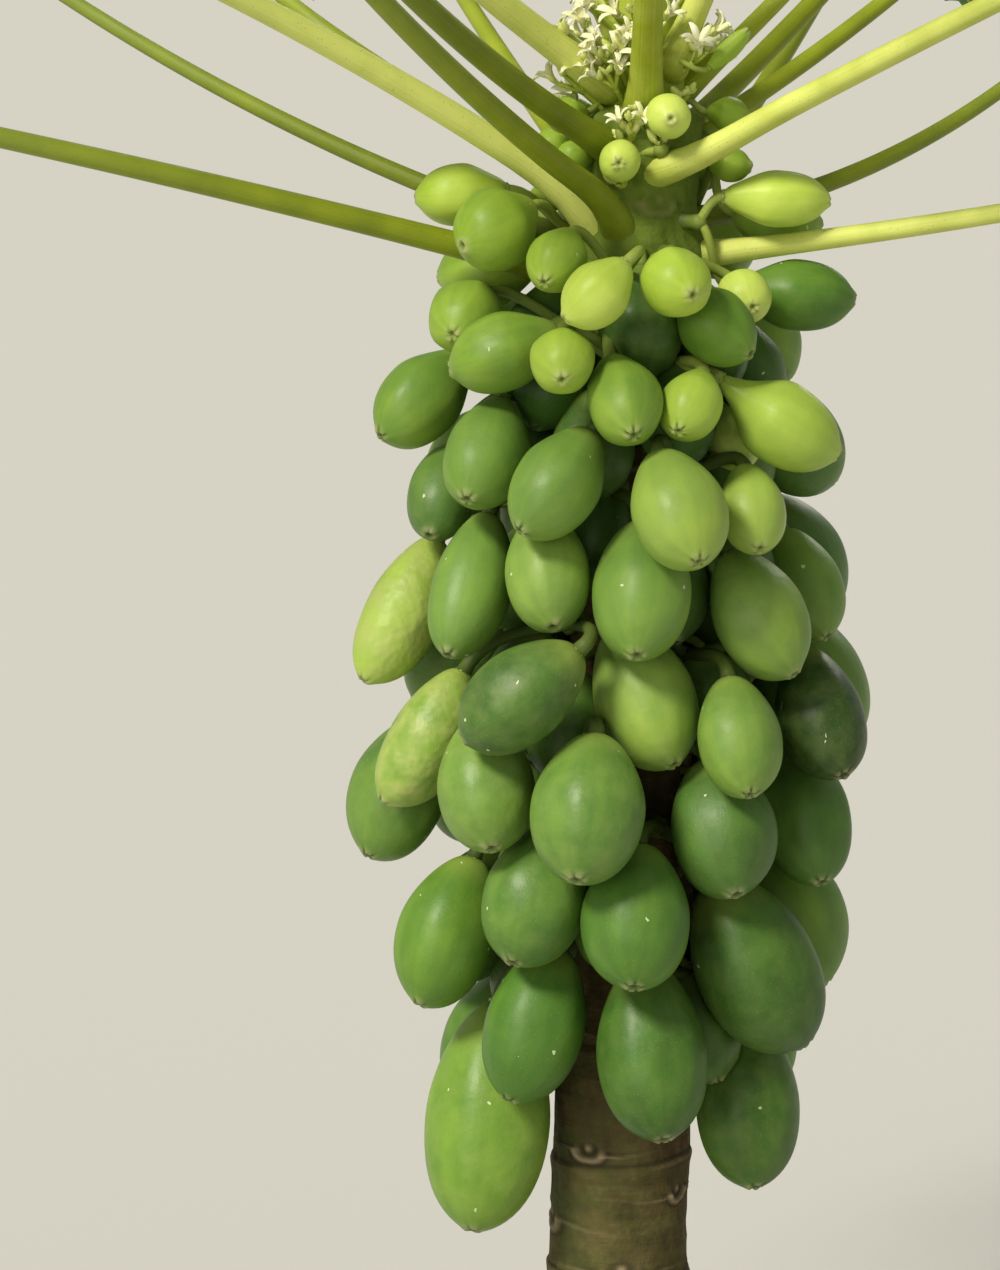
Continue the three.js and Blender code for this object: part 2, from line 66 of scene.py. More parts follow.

# bearing, height, rise, length, bend, then how bright the stalk is and how thick; the brightness is
# the stalk's colour with painted light and shade, low for stalks in shade and high for sunlit ones
leaves = [
    (-76, 1519, 13, 950, -4, 0.37, 1.0),
    (80, 1545, 11, 950, 9, 0.9, 0.8),
    (155, 1556, 30, 850, 8, 0.45, 0.95),
    (-32, 1590, 28, 850, 15, 0.36, 1.0),
    (-158, 1570, 30, 850, 6, 0.5, 0.95),
    (122, 1580, 27, 830, 44, 0.3, 0.8),
    (-109, 1552, 26, 900, 20, 0.25, 0.8),
    (-68, 1586, 25, 900, -16, 1.0, 1.12),
    (180, 1622, 34, 830, 10, 0.5, 0.95),
    (51, 1634, 22, 900, -4, 0.85, 0.95),
    (142, 1650, 32, 860, 8, 0.45, 0.95),
    (-40, 1650, 32, 780, 24, 0.3, 1.1),
    (-124, 1612, 31, 850, 24, 0.4, 0.8),
    (118, 1654, 36, 780, 18, 0.4, 0.8),
    (0, 1680, 55, 710, 10, 0.6, 1.3),
    (-177, 1708, 46, 760, 6, 0.6, 0.95),
    (92, 1704, 50, 640, 16, 0.55, 0.85),
    (-62, 1714, 40, 690, 20, 0.9, 1.3),
    (50, 1728, 64, 590, 8, 0.85, 1.2),
    (-108, 1762, 62, 560, 6, 0.85, 0.95),
]
youngLeaves = [(175, 60, 480), (82, 70, 400), (-80, 74, 330), (140, 78, 260)]

# across, forward, height, width, length, lean, tone (0 deep green to 1.25 pale yellow-green; the fruit's
# colour with painted light and shade, lower for fruit in shade and higher for sunlit fruit and for fruit in
# other fruit's shadow), then its droop and how far its neck narrows, where they aren't the usual ones for its
# height
seenFruit = [
    [(48, 74, 1690, 45, 50, 35, 1.25), (-12, 68, 1632, 42, 50, -35, 1.25)],
    [(-156, 20, 1610, 64, 96, -85, 1.05), (-120, 95, 1580, 82, 98, -60, 0.78, 24)],
    [(160, 15, 1598, 56, 110, 88, 1.12), (180, 20, 1512, 73, 124, 85, 0.4)],
    [(-62, 148, 1550, 58, 80, -28, 0.78, 38), (-20, 182, 1514, 61, 84, -45, 1.15, 44)],
    [(46, 176, 1528, 68, 88, 50, 0.98), (92, 150, 1483, 72, 100, 45, 0.54, 40),
     (126, 85, 1510, 54, 70, 30, 1.17)],
    [(-153, 42, 1490, 74, 100, -35, 0.72), (-112, 140, 1453, 78, 113, -70, 0.64)],
    [(-54, 188, 1459, 62, 80, 0, 0.86), (-2, 186, 1408, 72, 107, 15, 0.68)],
    [(63, 190, 1402, 62, 80, -25, 0.96), (155, 116, 1385, 84, 130, 55, 0.98, 42, 0.52)],
    [(-198, 15, 1398, 82, 120, -45, 0.62), (-135, 138, 1354, 85, 120, -20, 0.51),
     (-180, 40, 1302, 72, 102, -15, 0.38)],
    [(-60, 186, 1330, 85, 116, -35, 0.56)],
    [(54, 200, 1307, 92, 118, 18, 0.8), (121, 108, 1364, 54, 70, 20, 1.1),
     (134, 145, 1300, 68, 90, 8, 0.96)],
    [(-222, 20, 1172, 80, 152, -25, 0.95), (-148, 137, 1213, 80, 144, -15, 0.53)],
    [(-75, 188, 1227, 86, 116, 5, 0.64), (20, 202, 1219, 98, 133, -3, 0.57)],
    [(138, 148, 1179, 91, 127, 25, 0.6), (196, 25, 1194, 80, 112, 20, 0.54)],
    [(-196, 60, 1046, 84, 142, -28, 0.7), (-102, 178, 1122, 93, 130, -50, 0.2)],
    [(23, 190, 1098, 102, 140, 20, 0.7), (119, 163, 1075, 83, 114, 8, 0.54),
     (212, 25, 1080, 92, 128, 15, 0.0)],
    [(-224, 20, 980, 102, 146, -22, 0.45), (-128, 141, 1009, 98, 126, 5, 0.51)],
    [(-27, 195, 1008, 111, 138, -8, 0.43), (100, 163, 965, 104, 130, 10, 0.26),
     (200, 20, 963, 94, 140, 10, 0.36)],
    [(-173, 45, 840, 102, 146, -18, 0.45), (-89, 160, 902, 107, 133, -15, 0.36)],
    [(22, 180, 889, 107, 133, -3, 0.33), (146, 90, 814, 127, 178, 25, 0.18)],
    [(-86, 142, 760, 100, 149, -15, 0.3), (-132, 60, 634, 130, 214, -5, 0.57)],
    [(36, 157, 735, 110, 165, 5, 0.2), (142, 50, 654, 108, 162, 3, 0.22)],
]
farFruit = {
    "top": 1580,
    "tierStep": 122,
    "tiers": 8,
    "perTier": [5, 4],
    "spread": 38,
    "narrow": 0.86,
    "jitter": 0.08,
    "turn": 12,
    "rise": 23,
    "seed": 5,
}
columnRadius = [(500, 125), (650, 150), (800, 172), (950, 190), (1100, 204), (1300, 200),
                (1450, 180), (1620, 148)]
fruitWidth = [(560, 126), (1000, 119), (1200, 109), (1450, 92), (1600, 70)]
fruitDroop = [(560, 80), (800, 68), (1000, 62), (1200, 60), (1300, 52), (1400, 40), (1500, 22),
              (1620, 6)]
fruitTucked = [(1350, 0.12), (1500, 0)]
# the back fruit's tone by height: paler higher up where they are younger, and the low ones set darker as
# painted shade
farTone = [(560, 0.34), (1200, 0.4), (1450, 0.6), (1620, 0.85)]
press = {"gap": 5, "push": 0.12, "wallPush": 0.3, "drawn": 0.03, "rounds": 320, "ratio": 1.42,
         "near": 270, "wallGap": 4, "stalkGap": 3}
ballShares = np.array([0.42, 0.5, 0.42])        # a fruit is taken as three balls: radius over its width
twigs = [(-24, 1716, 78), (50, 1722, 80), (140, 1722, 80), (-140, 1726, 76)]


def along(pairs, x):
    return np.interp(x, [p[0] for p in pairs], [p[1] for p in pairs])


def seeded(seed):        # the source's own numbers from -1 to 1
    state = seed

    def draw():
        nonlocal state
        state = (state * 1664525 + 1013904223) % 4294967296
        return 2 * state / 4294967296 - 1
    return draw


def direction(bearing, rise=0.0):
    b, r = math.radians(bearing), math.radians(rise)
    return np.array([math.sin(b) * math.cos(r), -math.cos(b) * math.cos(r), math.sin(r)])


def trunkMiddle(height):        # for one height or many
    return np.stack([trunk["lean"] * height, 0.0 * height, height], axis=-1)


def skinAt(height):
    return along(trunk["outline"], height)


def besideTrunk(out, far, height):
    return trunkMiddle(height) + out * far


def unit(v):
    return v / np.linalg.norm(v)


def petiolePath(leaf, steps):        # from inside the trunk to the blade
    bearing, height, rise, length, bend = leaf[:5]
    points = [besideTrunk(direction(bearing), skinAt(height) - petiole["inside"], height)]
    for i in range(steps):
        tilt = rise + bend * ((i + 0.5) / steps - 0.5)
        points.append(points[-1] + direction(bearing, tilt) * length / steps)
    return np.array(points)


# leaves whose stalk bends at its foot: the foot's bearing and height, then its heading and rise
turnedFeet = {3: (-24, 1552, -30, 62), 7: (-62, 1556, -66, 55), 9: (-26, 1626, 54, 8)}


def turnFoot(path, bearing, height, heading, rise):
    joined = 7        # from this point on the stalk keeps its line
    start = besideTrunk(direction(bearing), skinAt(height) - 1.2 * petiole["inside"], height)
    end = path[joined]
    reach = np.linalg.norm(end - start)
    before = end - unit(path[joined + 1] - end) * reach * 0.4
    curve = bezier(start, start + direction(heading, rise) * reach * 0.4, before, end, joined + 1)
    return np.concatenate([curve, path[joined + 1:]])


def axisFromLean(lean, droop):
    sideways = math.tan(math.radians(lean)) * math.sin(math.radians(droop))
    level = math.cos(math.radians(droop))
    if abs(sideways) > level:
        return np.array([math.sin(math.radians(lean)), 0, -math.cos(math.radians(lean))])
    return np.array([sideways, -math.sqrt(level ** 2 - sideways ** 2), -math.sin(math.radians(droop))])


def frontGroups():
    groups = []
    for rows in seenFruit:
        members = []
        for across, forward, height, wide, long, lean, tone, *own in rows:
            axis = axisFromLean(lean, own[0] if own else along(fruitDroop, height))
            tucked = long * along(fruitTucked, height)
            members.append({
                "middle": np.array([across, -forward, height], float) - axis * tucked / 2,
                "axis": axis,
                "wide": wide,
                "long": long + tucked,
                "tone": tone,
                "give": (0.1, 1, 0.1),
                "ownNeck": own[1] if len(own) > 1 else None,
            })
        groups.append(members)
    return groups


def farGroups():
    rule = farFruit
    vary = seeded(rule["seed"])
    groups = []
    for tier in range(rule["tiers"]):
        count = rule["perTier"][tier % len(rule["perTier"])]
        members = []
        for i in range(count):
            bearing = 180 + (i - (count - 1) / 2) * rule["spread"] + rule["turn"] * vary()
            height = rule["top"] - tier * rule["tierStep"] + rule["rise"] * vary()
            wide = along(fruitWidth, height) * (1 + rule["jitter"] * vary())
            droop = along(fruitDroop, height) * (1 + rule["jitter"] * vary())
            out = direction(bearing) * (rule["narrow"], 1, 1)
            members.append({
                "middle": besideTrunk(out, along(columnRadius, height), height),
                "axis": direction(bearing, -droop),
                "wide": wide,
                "long": wide * press["ratio"],
                "tone": along(farTone, height) + 0.12 * math.sin(7 * bearing + tier),
                "give": (1, 1, 1),
            })
        half = math.ceil(count / 2)
        groups += [members[:half], members[half:]]
    return groups


# Fruit that overlap are pushed clear of each other, the trunk and the leaf stalks
def settle(fruits, limbs):
    middles = np.array([f["middle"] for f in fruits])
    homes = middles.copy()
    axes = np.array([f["axis"] for f in fruits])
    wides = np.array([f["wide"] for f in fruits], float)
    reaches = (np.array([f["long"] for f in fruits]) - wides * 0.8) / 2
    gives = np.array([f["give"] for f in fruits])
    offsets = np.array([-1, 0, 1])[None, :, None] * axes[:, None, :] * reaches[:, None, None]
    radii = (wides[:, None] * ballShares[None, :]).ravel()
    owner = np.repeat(np.arange(len(fruits)), 3)
    starts = np.array([l[0] for l in limbs])
    spans = np.array([l[1] - l[0] for l in limbs])
    for step in range(press["rounds"]):
        balls = (middles[:, None, :] + offsets).reshape(-1, 3)
        apart = balls[:, None, :] - balls[None, :, :]
        far = np.linalg.norm(apart, axis=2)
        between = np.linalg.norm(middles[:, None, :] - middles[None, :, :], axis=2)
        near = (between <= press["near"])[owner][:, owner] & (owner[:, None] != owner[None, :])
        deep = np.where(near, radii[:, None] + radii[None, :] + press["gap"] - far, 0).clip(min=0)
        push = (apart * (deep * press["push"] / np.maximum(far, 1e-6))[:, :, None]).sum(axis=1)
        away = balls - trunkMiddle(balls[:, 2])
        wall = skinAt(balls[:, 2]) + trunk["scarRelief"] + press["wallGap"] + radii
        room = np.linalg.norm(away, axis=1)
        deep = (wall - room).clip(min=0)
        push += away * (deep * press["wallPush"] / np.maximum(room, 1e-6))[:, None]
        share = ((balls[:, None, :] - starts) * spans).sum(axis=2) / (spans ** 2).sum(axis=1)
        foot = starts + spans * share.clip(0, 1)[:, :, None]
        away = balls[:, None, :] - foot
        room = np.linalg.norm(away, axis=2)
        deep = (petiole["radius"] + press["stalkGap"] + radii[:, None] - room).clip(min=0)
        push += (away * (deep * press["wallPush"] / np.maximum(room, 1e-6))[:, :, None]).sum(axis=1)
        middles += push.reshape(-1, 3, 3).sum(axis=1) * gives
        if step < press["rounds"] * 0.6:
            middles += (homes - middles) * press["drawn"]
    for f, middle in zip(fruits, middles):
        f["middle"] = middle


# Helpers for meshes and pieces

def deselect():
    bpy.ops.object.select_all(action="DESELECT")


def only(piece):
    deselect()
    piece.select_set(True)
    bpy.context.view_layer.objects.active = piece


def coordinates(mesh):
    flat = np.empty(len(mesh.vertices) * 3)
    mesh.vertices.foreach_get("co", flat)
    return flat.reshape(-1, 3)


def setAttribute(mesh, name, values):
    attribute = mesh.attributes.get(name) or mesh.attributes.new(name, "FLOAT", "POINT")
    attribute.data.foreach_set("value", np.broadcast_to(values, len(mesh.vertices)).astype(np.float32))


def addObject(name, data):
    thing = bpy.data.objects.new(name, data)
    bpy.context.collection.objects.link(thing)
    return thing


def copyOf(form, name, points, **attributes):        # a copy with its own mesh, points in mm
    mesh = form.data.copy()
    mesh.name = name
    piece = addObject(name, mesh)
    mesh.vertices.foreach_set("co", (points * 0.001).ravel())
    for key, values in attributes.items():
        setAttribute(mesh, key, values)
    mesh.update()
    return piece


def joinAs(name, parts):
    deselect()
    for part in parts:
        part.select_set(True)
    bpy.context.view_layer.objects.active = parts[0]
    if len(parts) > 1:
        bpy.ops.object.join()
    parts[0].name = name
    parts[0].data.name = name
    return parts[0]


def finishPiece(piece, material, nodes=()):
    only(piece)
    bpy.ops.object.shade_smooth()
    piece.data.materials.clear()
    piece.data.materials.append(material)
    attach(piece, "root")
    if nodes:
        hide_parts(*nodes)


def drop(*forms):
    for form in forms:
        bpy.data.objects.remove(form)


def chooseParts(form, kind, wanted):        # selects what wanted finds right, from the heights of its corners
    bpy.ops.object.mode_set(mode="EDIT")
    bpy.ops.mesh.select_mode(type=kind)
    bpy.ops.mesh.select_all(action="DESELECT")
    bpy.ops.object.mode_set(mode="OBJECT")
    for part in form.data.edges if kind == "EDGE" else form.data.polygons:
        part.select = wanted([form.data.vertices[k].co.z for k in part.vertices])
    bpy.ops.object.mode_set(mode="EDIT")


# A closed tube of radius 1 from z 0 to z 1, cut into rings, for stalks to be laid from
def makeTubeForm(sides, rings, again=1):        # each ring is cut again into this many
    deselect()
    bpy.ops.mesh.primitive_cylinder_add(vertices=sides, radius=1, depth=1, end_fill_type="TRIFAN",
                                        location=(0, 0, 0.5))
    form = bpy.context.object
    bpy.ops.object.transform_apply(location=True)
    for parts in (rings, again):
        if parts > 1:
            chooseParts(form, "EDGE", lambda heights: max(heights) - min(heights) > 1e-4)
            bpy.ops.mesh.subdivide(number_cuts=parts - 1)
            bpy.ops.object.mode_set(mode="OBJECT")
    return form


def sideOf(aim, least=0.05):        # a level direction square to aim
    side = np.cross(aim, (0.0, 0.0, 1.0))
    return unit(side) if np.linalg.norm(side) > least else np.array([1.0, 0, 0])


# Lays a tube form along a path. Radii are given across, then over, at even steps of the path.
def layTube(form, path, across, over=None):
    co = coordinates(form.data)
    path = np.asarray(path, float)
    tangents = np.gradient(path, axis=0)
    tangents /= np.linalg.norm(tangents, axis=1)[:, None]
    side = sideOf(tangents[0])
    sides = []
    for tangent in tangents:
        side = unit(side - tangent * side.dot(tangent))
        sides.append(side)
    sides = np.array(sides)
    overs = np.cross(sides, tangents)

    def read(values):        # at each point's own share of the way
        return np.interp(co[:, 2], np.linspace(0, 1, len(values)), values)

    def read3(values):
        return np.stack([read(values[:, k]) for k in range(3)], axis=1)
    out = read3(sides) * (co[:, 0] * read(across))[:, None]
    up = read3(overs) * (co[:, 1] * read(across if over is None else over))[:, None]
    return read3(path) + out + up


def bezier(a, b, c, d, count):
    t = np.linspace(0, 1, count)[:, None]
    return a * (1 - t) ** 3 + 3 * b * t * (1 - t) ** 2 + 3 * c * t ** 2 * (1 - t) + d * t ** 3


def smoothstep(low, high, x):
    t = ((x - low) / (high - low)).clip(0, 1)
    return t * t * (3 - 2 * t)


# Camera, floor and light

cameraFacts = {"place": (-0.12, -3.7, 1.70), "pitch": 8.47, "lens": 100.86}
studio = {
    "floorRadius": 90,
    "floorColour": (0.53, 0.52, 0.50),
    "skyColour": (0.97, 1.0, 0.93),
    "skyStrength": 0.34,
    # far soft lights: bearing and height in degrees, strength, softness in degrees and colour
    "lights": {
        "key": (-52, 44, 1.3, 12, (1.0, 0.96, 0.84)),
        "dappled": (-39, 41, 2.35, 12, (1.0, 0.96, 0.84)),
        "low": (-30, 10, 0.6, 25, (1.0, 0.97, 0.88)),
        "back": (158, 30, 0.8, 25, (1.0, 0.97, 0.86)),
    },
}


def makeCamera():
    data = bpy.data.cameras.new("camera")
    data.sensor_width = 36        # taken along the picture's long side
    data.lens = cameraFacts["lens"]
    camera = addObject("camera", data)
    camera.location = cameraFacts["place"]
    camera.rotation_euler = (math.radians(90 - cameraFacts["pitch"]), 0, 0)
    bpy.context.scene.camera = camera


def makeStudio():
    deselect()
    bpy.ops.mesh.primitive_circle_add(vertices=96, radius=studio["floorRadius"], fill_type="NGON")
    floor = bpy.context.object
    floor.name = "floor"
    look = {"Base Color": studio["floorColour"], "Roughness": 1.0, "Specular IOR Level": 0.0}
    floor.data.materials.append(dress(startMaterial("floorPaint")[0], look))
    floor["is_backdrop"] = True
    floorLight = studio["skyStrength"] * np.array(studio["skyColour"])
    for name, (bearing, height, strength, softness, colour) in studio["lights"].items():
        data = bpy.data.lights.new(name, "SUN")
        data.color = colour
        data.energy = strength
        data.angle = math.radians(softness)
        light = addObject(name, data)
        light.rotation_euler = (math.radians(90 - height), 0, math.radians(bearing))
        floorLight = floorLight + strength * math.sin(math.radians(height)) / math.pi * np.array(colour)
    world = bpy.data.worlds.new("studioLight")
    world.use_nodes = True
    tree = world.node_tree
    tree.nodes.clear()
    sky = newNode(tree, "Background", {"Color": studio["skyColour"], "Strength": studio["skyStrength"]})
    backdrop = tuple(floorLight * studio["floorColour"])        # as bright as the floor, so no horizon shows
    seen = newNode(tree, "Background", {"Color": backdrop})
    blend = newNode(tree, "MixShader", {0: newNode(tree, "LightPath").outputs["Is Camera Ray"],
                                        1: sky.outputs[0], 2: seen.outputs[0]})
    newNode(tree, "OutputWorld", {"Surface": blend.outputs[0]})
    bpy.context.scene.world = world
    bpy.context.scene.view_settings.view_transform = "Standard"


# Helpers for materials

def startMaterial(name):
    material = bpy.data.materials.new(name)
    material.use_nodes = True
    material.node_tree.nodes.clear()
    return material, material.node_tree


def feed(tree, value, socket):        # a socket is linked, a plain value is set
    if isinstance(value, bpy.types.NodeSocket):
        tree.links.new(value, socket)
    elif isinstance(value, tuple) and socket.type == "RGBA":
        socket.default_value = (*value, 1)
    else:
        socket.default_value = value


def newNode(tree, kind, given=None, **settings):        # what is given goes to its sockets
    node = tree.nodes.new("ShaderNode" + kind)
    for name, value in settings.items():
        setattr(node, name, value)
    for name, value in (given or {}).items():
        feed(tree, value, node.inputs[name])
    return node


def dress(material, looks):        # the looks are the shader's own sockets
    shader = newNode(material.node_tree, "BsdfPrincipled", looks)
    newNode(material.node_tree, "OutputMaterial", {"Surface": shader.outputs[0]})
    return material


def maths(tree, operation, a, b=0.0, clamp=False):
    return newNode(tree, "Math", {0: a, 1: b}, operation=operation, use_clamp=clamp).outputs[0]


def times(tree, a, b):
    return maths(tree, "MULTIPLY", a, b)


def plus(tree, a, b, clamp=False):
    return maths(tree, "ADD", a, b, clamp)


def most(tree, a, b):
    return maths(tree, "MAXIMUM", a, b)


def tint(tree, colour, mask, other, strength=None):        # the other colour shows where the mask is
    if strength is not None:
        mask = times(tree, mask, strength)
    return newNode(tree, "Mix", {0: mask, 6: colour, 7: other}, data_type="RGBA").outputs[2]


def ramp(tree, value, stops):        # stops are (place, colour)
    node = newNode(tree, "ValToRGB", {0: value})
    elements = node.color_ramp.elements
    while len(elements) < len(stops):
        elements.new(0.5)
    for element, (place, colour) in zip(elements, stops):
        element.position = place
        element.color = (*colour, 1)
    return node.outputs[0]


def rescale(tree, value, low, high, newLow=0.0, newHigh=1.0):
    ends = {"From Min": low, "From Max": high, "To Min": newLow, "To Max": newHigh}
    return newNode(tree, "MapRange", {"Value": value, **ends}).outputs[0]


def between(tree, mask, low, high):        # low where the mask is 0, high where it is 1
    return rescale(tree, mask, 0, 1, low, high)


def stretched(tree, vector, scale):
    return newNode(tree, "Mapping", {"Vector": vector, "Scale": scale}).outputs[0]


def noise(tree, vector, scale, detail=3.0, roughness=0.55):
    look = {"Scale": scale, "Detail": detail, "Roughness": roughness}
    return newNode(tree, "TexNoise", {"Vector": vector, **look}).outputs[0]


def shaken(tree, vector, scale, amount):        # a place moved a little, so that spots lose their round edge
    cloud = newNode(tree, "TexNoise", {"Vector": vector, "Scale": scale}).outputs["Color"]
    small = newNode(tree, "VectorMath", {0: cloud, 1: (amount, amount, amount)}, operation="MULTIPLY")
    return newNode(tree, "VectorMath", {0: vector, 1: small.outputs[0]}).outputs[0]


def attribute(tree, name):
    return newNode(tree, "Attribute", attribute_name=name).outputs["Fac"]


def objectPlace(tree):
    return newNode(tree, "TexCoord").outputs["Object"]


def split(tree, vector):        # its three numbers
    return newNode(tree, "SeparateXYZ", {0: vector}).outputs


def uvPlace(tree):
    return newNode(tree, "TexCoord").outputs["UV"]


def bumps(tree, *layers):        # a height and its distance for each, the first one lowest
    normal = None
    for height, distance in layers:
        node = newNode(tree, "Bump", {"Strength": 1.0, "Distance": distance, "Height": height})
        if normal is not None:
            tree.links.new(normal, node.inputs["Normal"])
        normal = node.outputs[0]
    return normal


def startGroup(name, place, *values):        # for a mask that is worked out from a place and some values
    group = bpy.data.node_groups.new(name, "ShaderNodeTree")
    group.interface.new_socket(name=place, in_out="INPUT", socket_type="NodeSocketVector")
    for label in values:
        group.interface.new_socket(name=label, in_out="INPUT", socket_type="NodeSocketFloat")
    group.interface.new_socket(name="Mask", in_out="OUTPUT", socket_type="NodeSocketFloat")
    out = group.nodes.new("NodeGroupOutput")
    return group, group.nodes.new("NodeGroupInput").outputs, out.inputs["Mask"]


# Cloudy light and dark patches, from 0 to 1
def makeMottle():
    group, given, out = startGroup("mottle", "Vector", "Scale", "Contrast")
    cloud = newNode(group, "TexNoise", {"Vector": given["Vector"], "Scale": given["Scale"], "Detail": 4})
    grown = times(group, maths(group, "SUBTRACT", cloud.outputs[0], 0.5), given["Contrast"])
    group.links.new(plus(group, grown, 0.5, clamp=True), out)
    return group


# Scattered round drops, such as dried white sap, with a share of the cells left empty
def makeDrops():
    group, given, out = startGroup("drops", "Vector", "Scale", "Size", "Share")
    cells = newNode(group, "TexVoronoi", {"Vector": given["Vector"], "Scale": given["Scale"]})
    near = maths(group, "LESS_THAN", cells.outputs["Distance"], given["Size"])
    chance = newNode(group, "SeparateColor", {0: cells.outputs["Color"]}).outputs[0]
    kept = maths(group, "LESS_THAN", chance, given["Share"])
    group.links.new(times(group, near, kept), out)
    return group


# Fine lines that run along a piece, from its UV map
def makeStreaks():
    group, given, out = startGroup("streaks", "UV", "Around", "Length")
    uv = split(group, given["UV"])
    angle = times(group, uv[0], 2 * math.pi)
    joined = newNode(group, "CombineXYZ", {2: times(group, uv[1], given["Length"])})
    for k, wave in enumerate(("COSINE", "SINE")):        # round the piece, so that no seam shows
        feed(group, times(group, maths(group, wave, angle), given["Around"]), joined.inputs[k])
    group.links.new(rescale(group, noise(group, joined.outputs[0], 1, 3, 0.5), 0.3, 0.7), out)
    return group


mottle = makeMottle()
drops = makeDrops()
streaks = makeStreaks()


def patchy(tree, place, scale, contrast):
    given = {"Vector": place, "Scale": scale, "Contrast": contrast}
    return newNode(tree, "Group", given, node_tree=mottle).outputs[0]


def scattered(tree, place, scale, size, share):
    given = {"Vector": place, "Scale": scale, "Size": size, "Share": share}
    return newNode(tree, "Group", given, node_tree=drops).outputs[0]


def streaky(tree, around, length):
    given = {"UV": uvPlace(tree), "Around": around, "Length": length}
    return newNode(tree, "Group", given, node_tree=streaks).outputs[0]


def makeFruitSkin():
    material, tree = startMaterial("fruitSkin")
    place, scar, blotch = objectPlace(tree), attribute(tree, "scar"), attribute(tree, "blotch")
    clouds = patchy(tree, place, 16, 2.2)
    # the tone attribute is each fruit's colour with its painted light and shade
    tone = plus(tree, attribute(tree, "tone"), between(tree, clouds, -0.11, 0.11))
    tone = plus(tree, tone, between(tree, streaky(tree, 3, 1.2), -0.04, 0.04))
    colour = ramp(tree, maths(tree, "DIVIDE", tone, 1.25), [
        (0.0, (0.021, 0.058, 0.009)),
        (0.28, (0.068, 0.165, 0.018)),
        (0.48, (0.150, 0.275, 0.026)),
        (0.8, (0.390, 0.545, 0.048)),
        (1.0, (0.600, 0.720, 0.130)),
    ])
    colour = tint(tree, colour, attribute(tree, "bloom"), (0.34, 0.44, 0.22))
    colour = tint(tree, colour, times(tree, blotch, patchy(tree, place, 48, 3)), (0.42, 0.47, 0.14), 0.65)
    colour = tint(tree, colour, attribute(tree, "neck"), (0.34, 0.42, 0.08), 0.5)
    colour = tint(tree, colour, scattered(tree, place, 330, 0.17, 0.5), (0.35, 0.47, 0.14), 0.22)
    spilt = shaken(tree, place, 160, 0.006)
    runs = scattered(tree, stretched(tree, spilt, (1, 1, 0.28)), 70, 0.09, 0.06)
    sap = most(tree, scattered(tree, spilt, 46, 0.10, 0.14), runs)
    colour = tint(tree, colour, sap, (0.74, 0.78, 0.50), 0.7)
    colour = tint(tree, colour, attribute(tree, "button"), (0.50, 0.50, 0.24), 0.7)
    colour = tint(tree, colour, scar, (0.040, 0.034, 0.014))
    lumps = times(tree, noise(tree, place, 38, 2), plus(tree, times(tree, blotch, 2.2), 0.7))
    return dress(material, {
        "Base Color": colour,
        "Roughness": plus(tree, between(tree, clouds, 0.36, 0.5), times(tree, scar, 0.3)),
        "Normal": bumps(tree, (lumps, 0.0014), (noise(tree, place, 420, 2), 0.00022), (sap, 0.0006)),
        "Coat Weight": 0.04,
        "Coat Roughness": 0.3,
        "Specular IOR Level": 0.26,
    })


def makeStalkSkin(name, dull, middling, bright, tip):
    material, tree = startMaterial(name)
    place = objectPlace(tree)
    clouds = patchy(tree, place, 22, 2)
    lines = streaky(tree, 7, 5)
    tone = plus(tree, attribute(tree, "tone"), between(tree, clouds, -0.10, 0.10))
    tone = plus(tree, tone, between(tree, lines, -0.035, 0.035), clamp=True)
    colour = ramp(tree, tone, [(0.0, dull), (0.55, middling), (1.0, bright)])
    colour = tint(tree, colour, attribute(tree, "far"), tip)
    colour = tint(tree, colour, scattered(tree, place, 260, 0.2, 0.25), (0.16, 0.15, 0.05), 0.35)
    return dress(material, {
        "Base Color": colour,
        "Roughness": between(tree, clouds, 0.42, 0.58),
        "Normal": bumps(tree, (lines, 0.0002), (noise(tree, place, 300, 2), 0.0002)),
        "Specular IOR Level": 0.25,
    })


# The blade's UV map holds the side veins' count along the lobe and the distance from the midrib
def makeBladeSkin(name, dark, light, veinColour, veinHeight):
    material, tree = startMaterial(name)
    place, uv = objectPlace(tree), split(tree, uvPlace(tree))

    def lines(per, width):        # vein lines at whole numbers of the count
        spread = maths(tree, "PINGPONG", times(tree, uv[0], per), 0.5)
        return rescale(tree, spread, width, width * 2.4, 1.0, 0.0)
    veins = most(tree, rescale(tree, uv[1], 0.004, 0.012, 1.0, 0.0), lines(1, 0.022))
    veins = most(tree, veins, times(tree, lines(4, 0.06), 0.35))
    clouds = patchy(tree, place, 9, 2)
    cells = newNode(tree, "TexVoronoi", {"Vector": place, "Scale": 130}, feature="DISTANCE_TO_EDGE")
    net = rescale(tree, cells.outputs["Distance"], 0.0, 0.12, 1.0, 0.0)
    tone = plus(tree, attribute(tree, "tone"), between(tree, clouds, -0.2, 0.2), clamp=True)
    colour = tint(tree, tint(tree, dark, tone, light), net, veinColour, 0.16)
    return dress(material, {
        "Base Color": tint(tree, colour, veins, veinColour, 0.8),
        "Roughness": between(tree, clouds, 0.45, 0.6),
        "Normal": bumps(tree, (veins, veinHeight), (net, veinHeight * 0.25)),
        "Specular IOR Level": 0.3,
    })


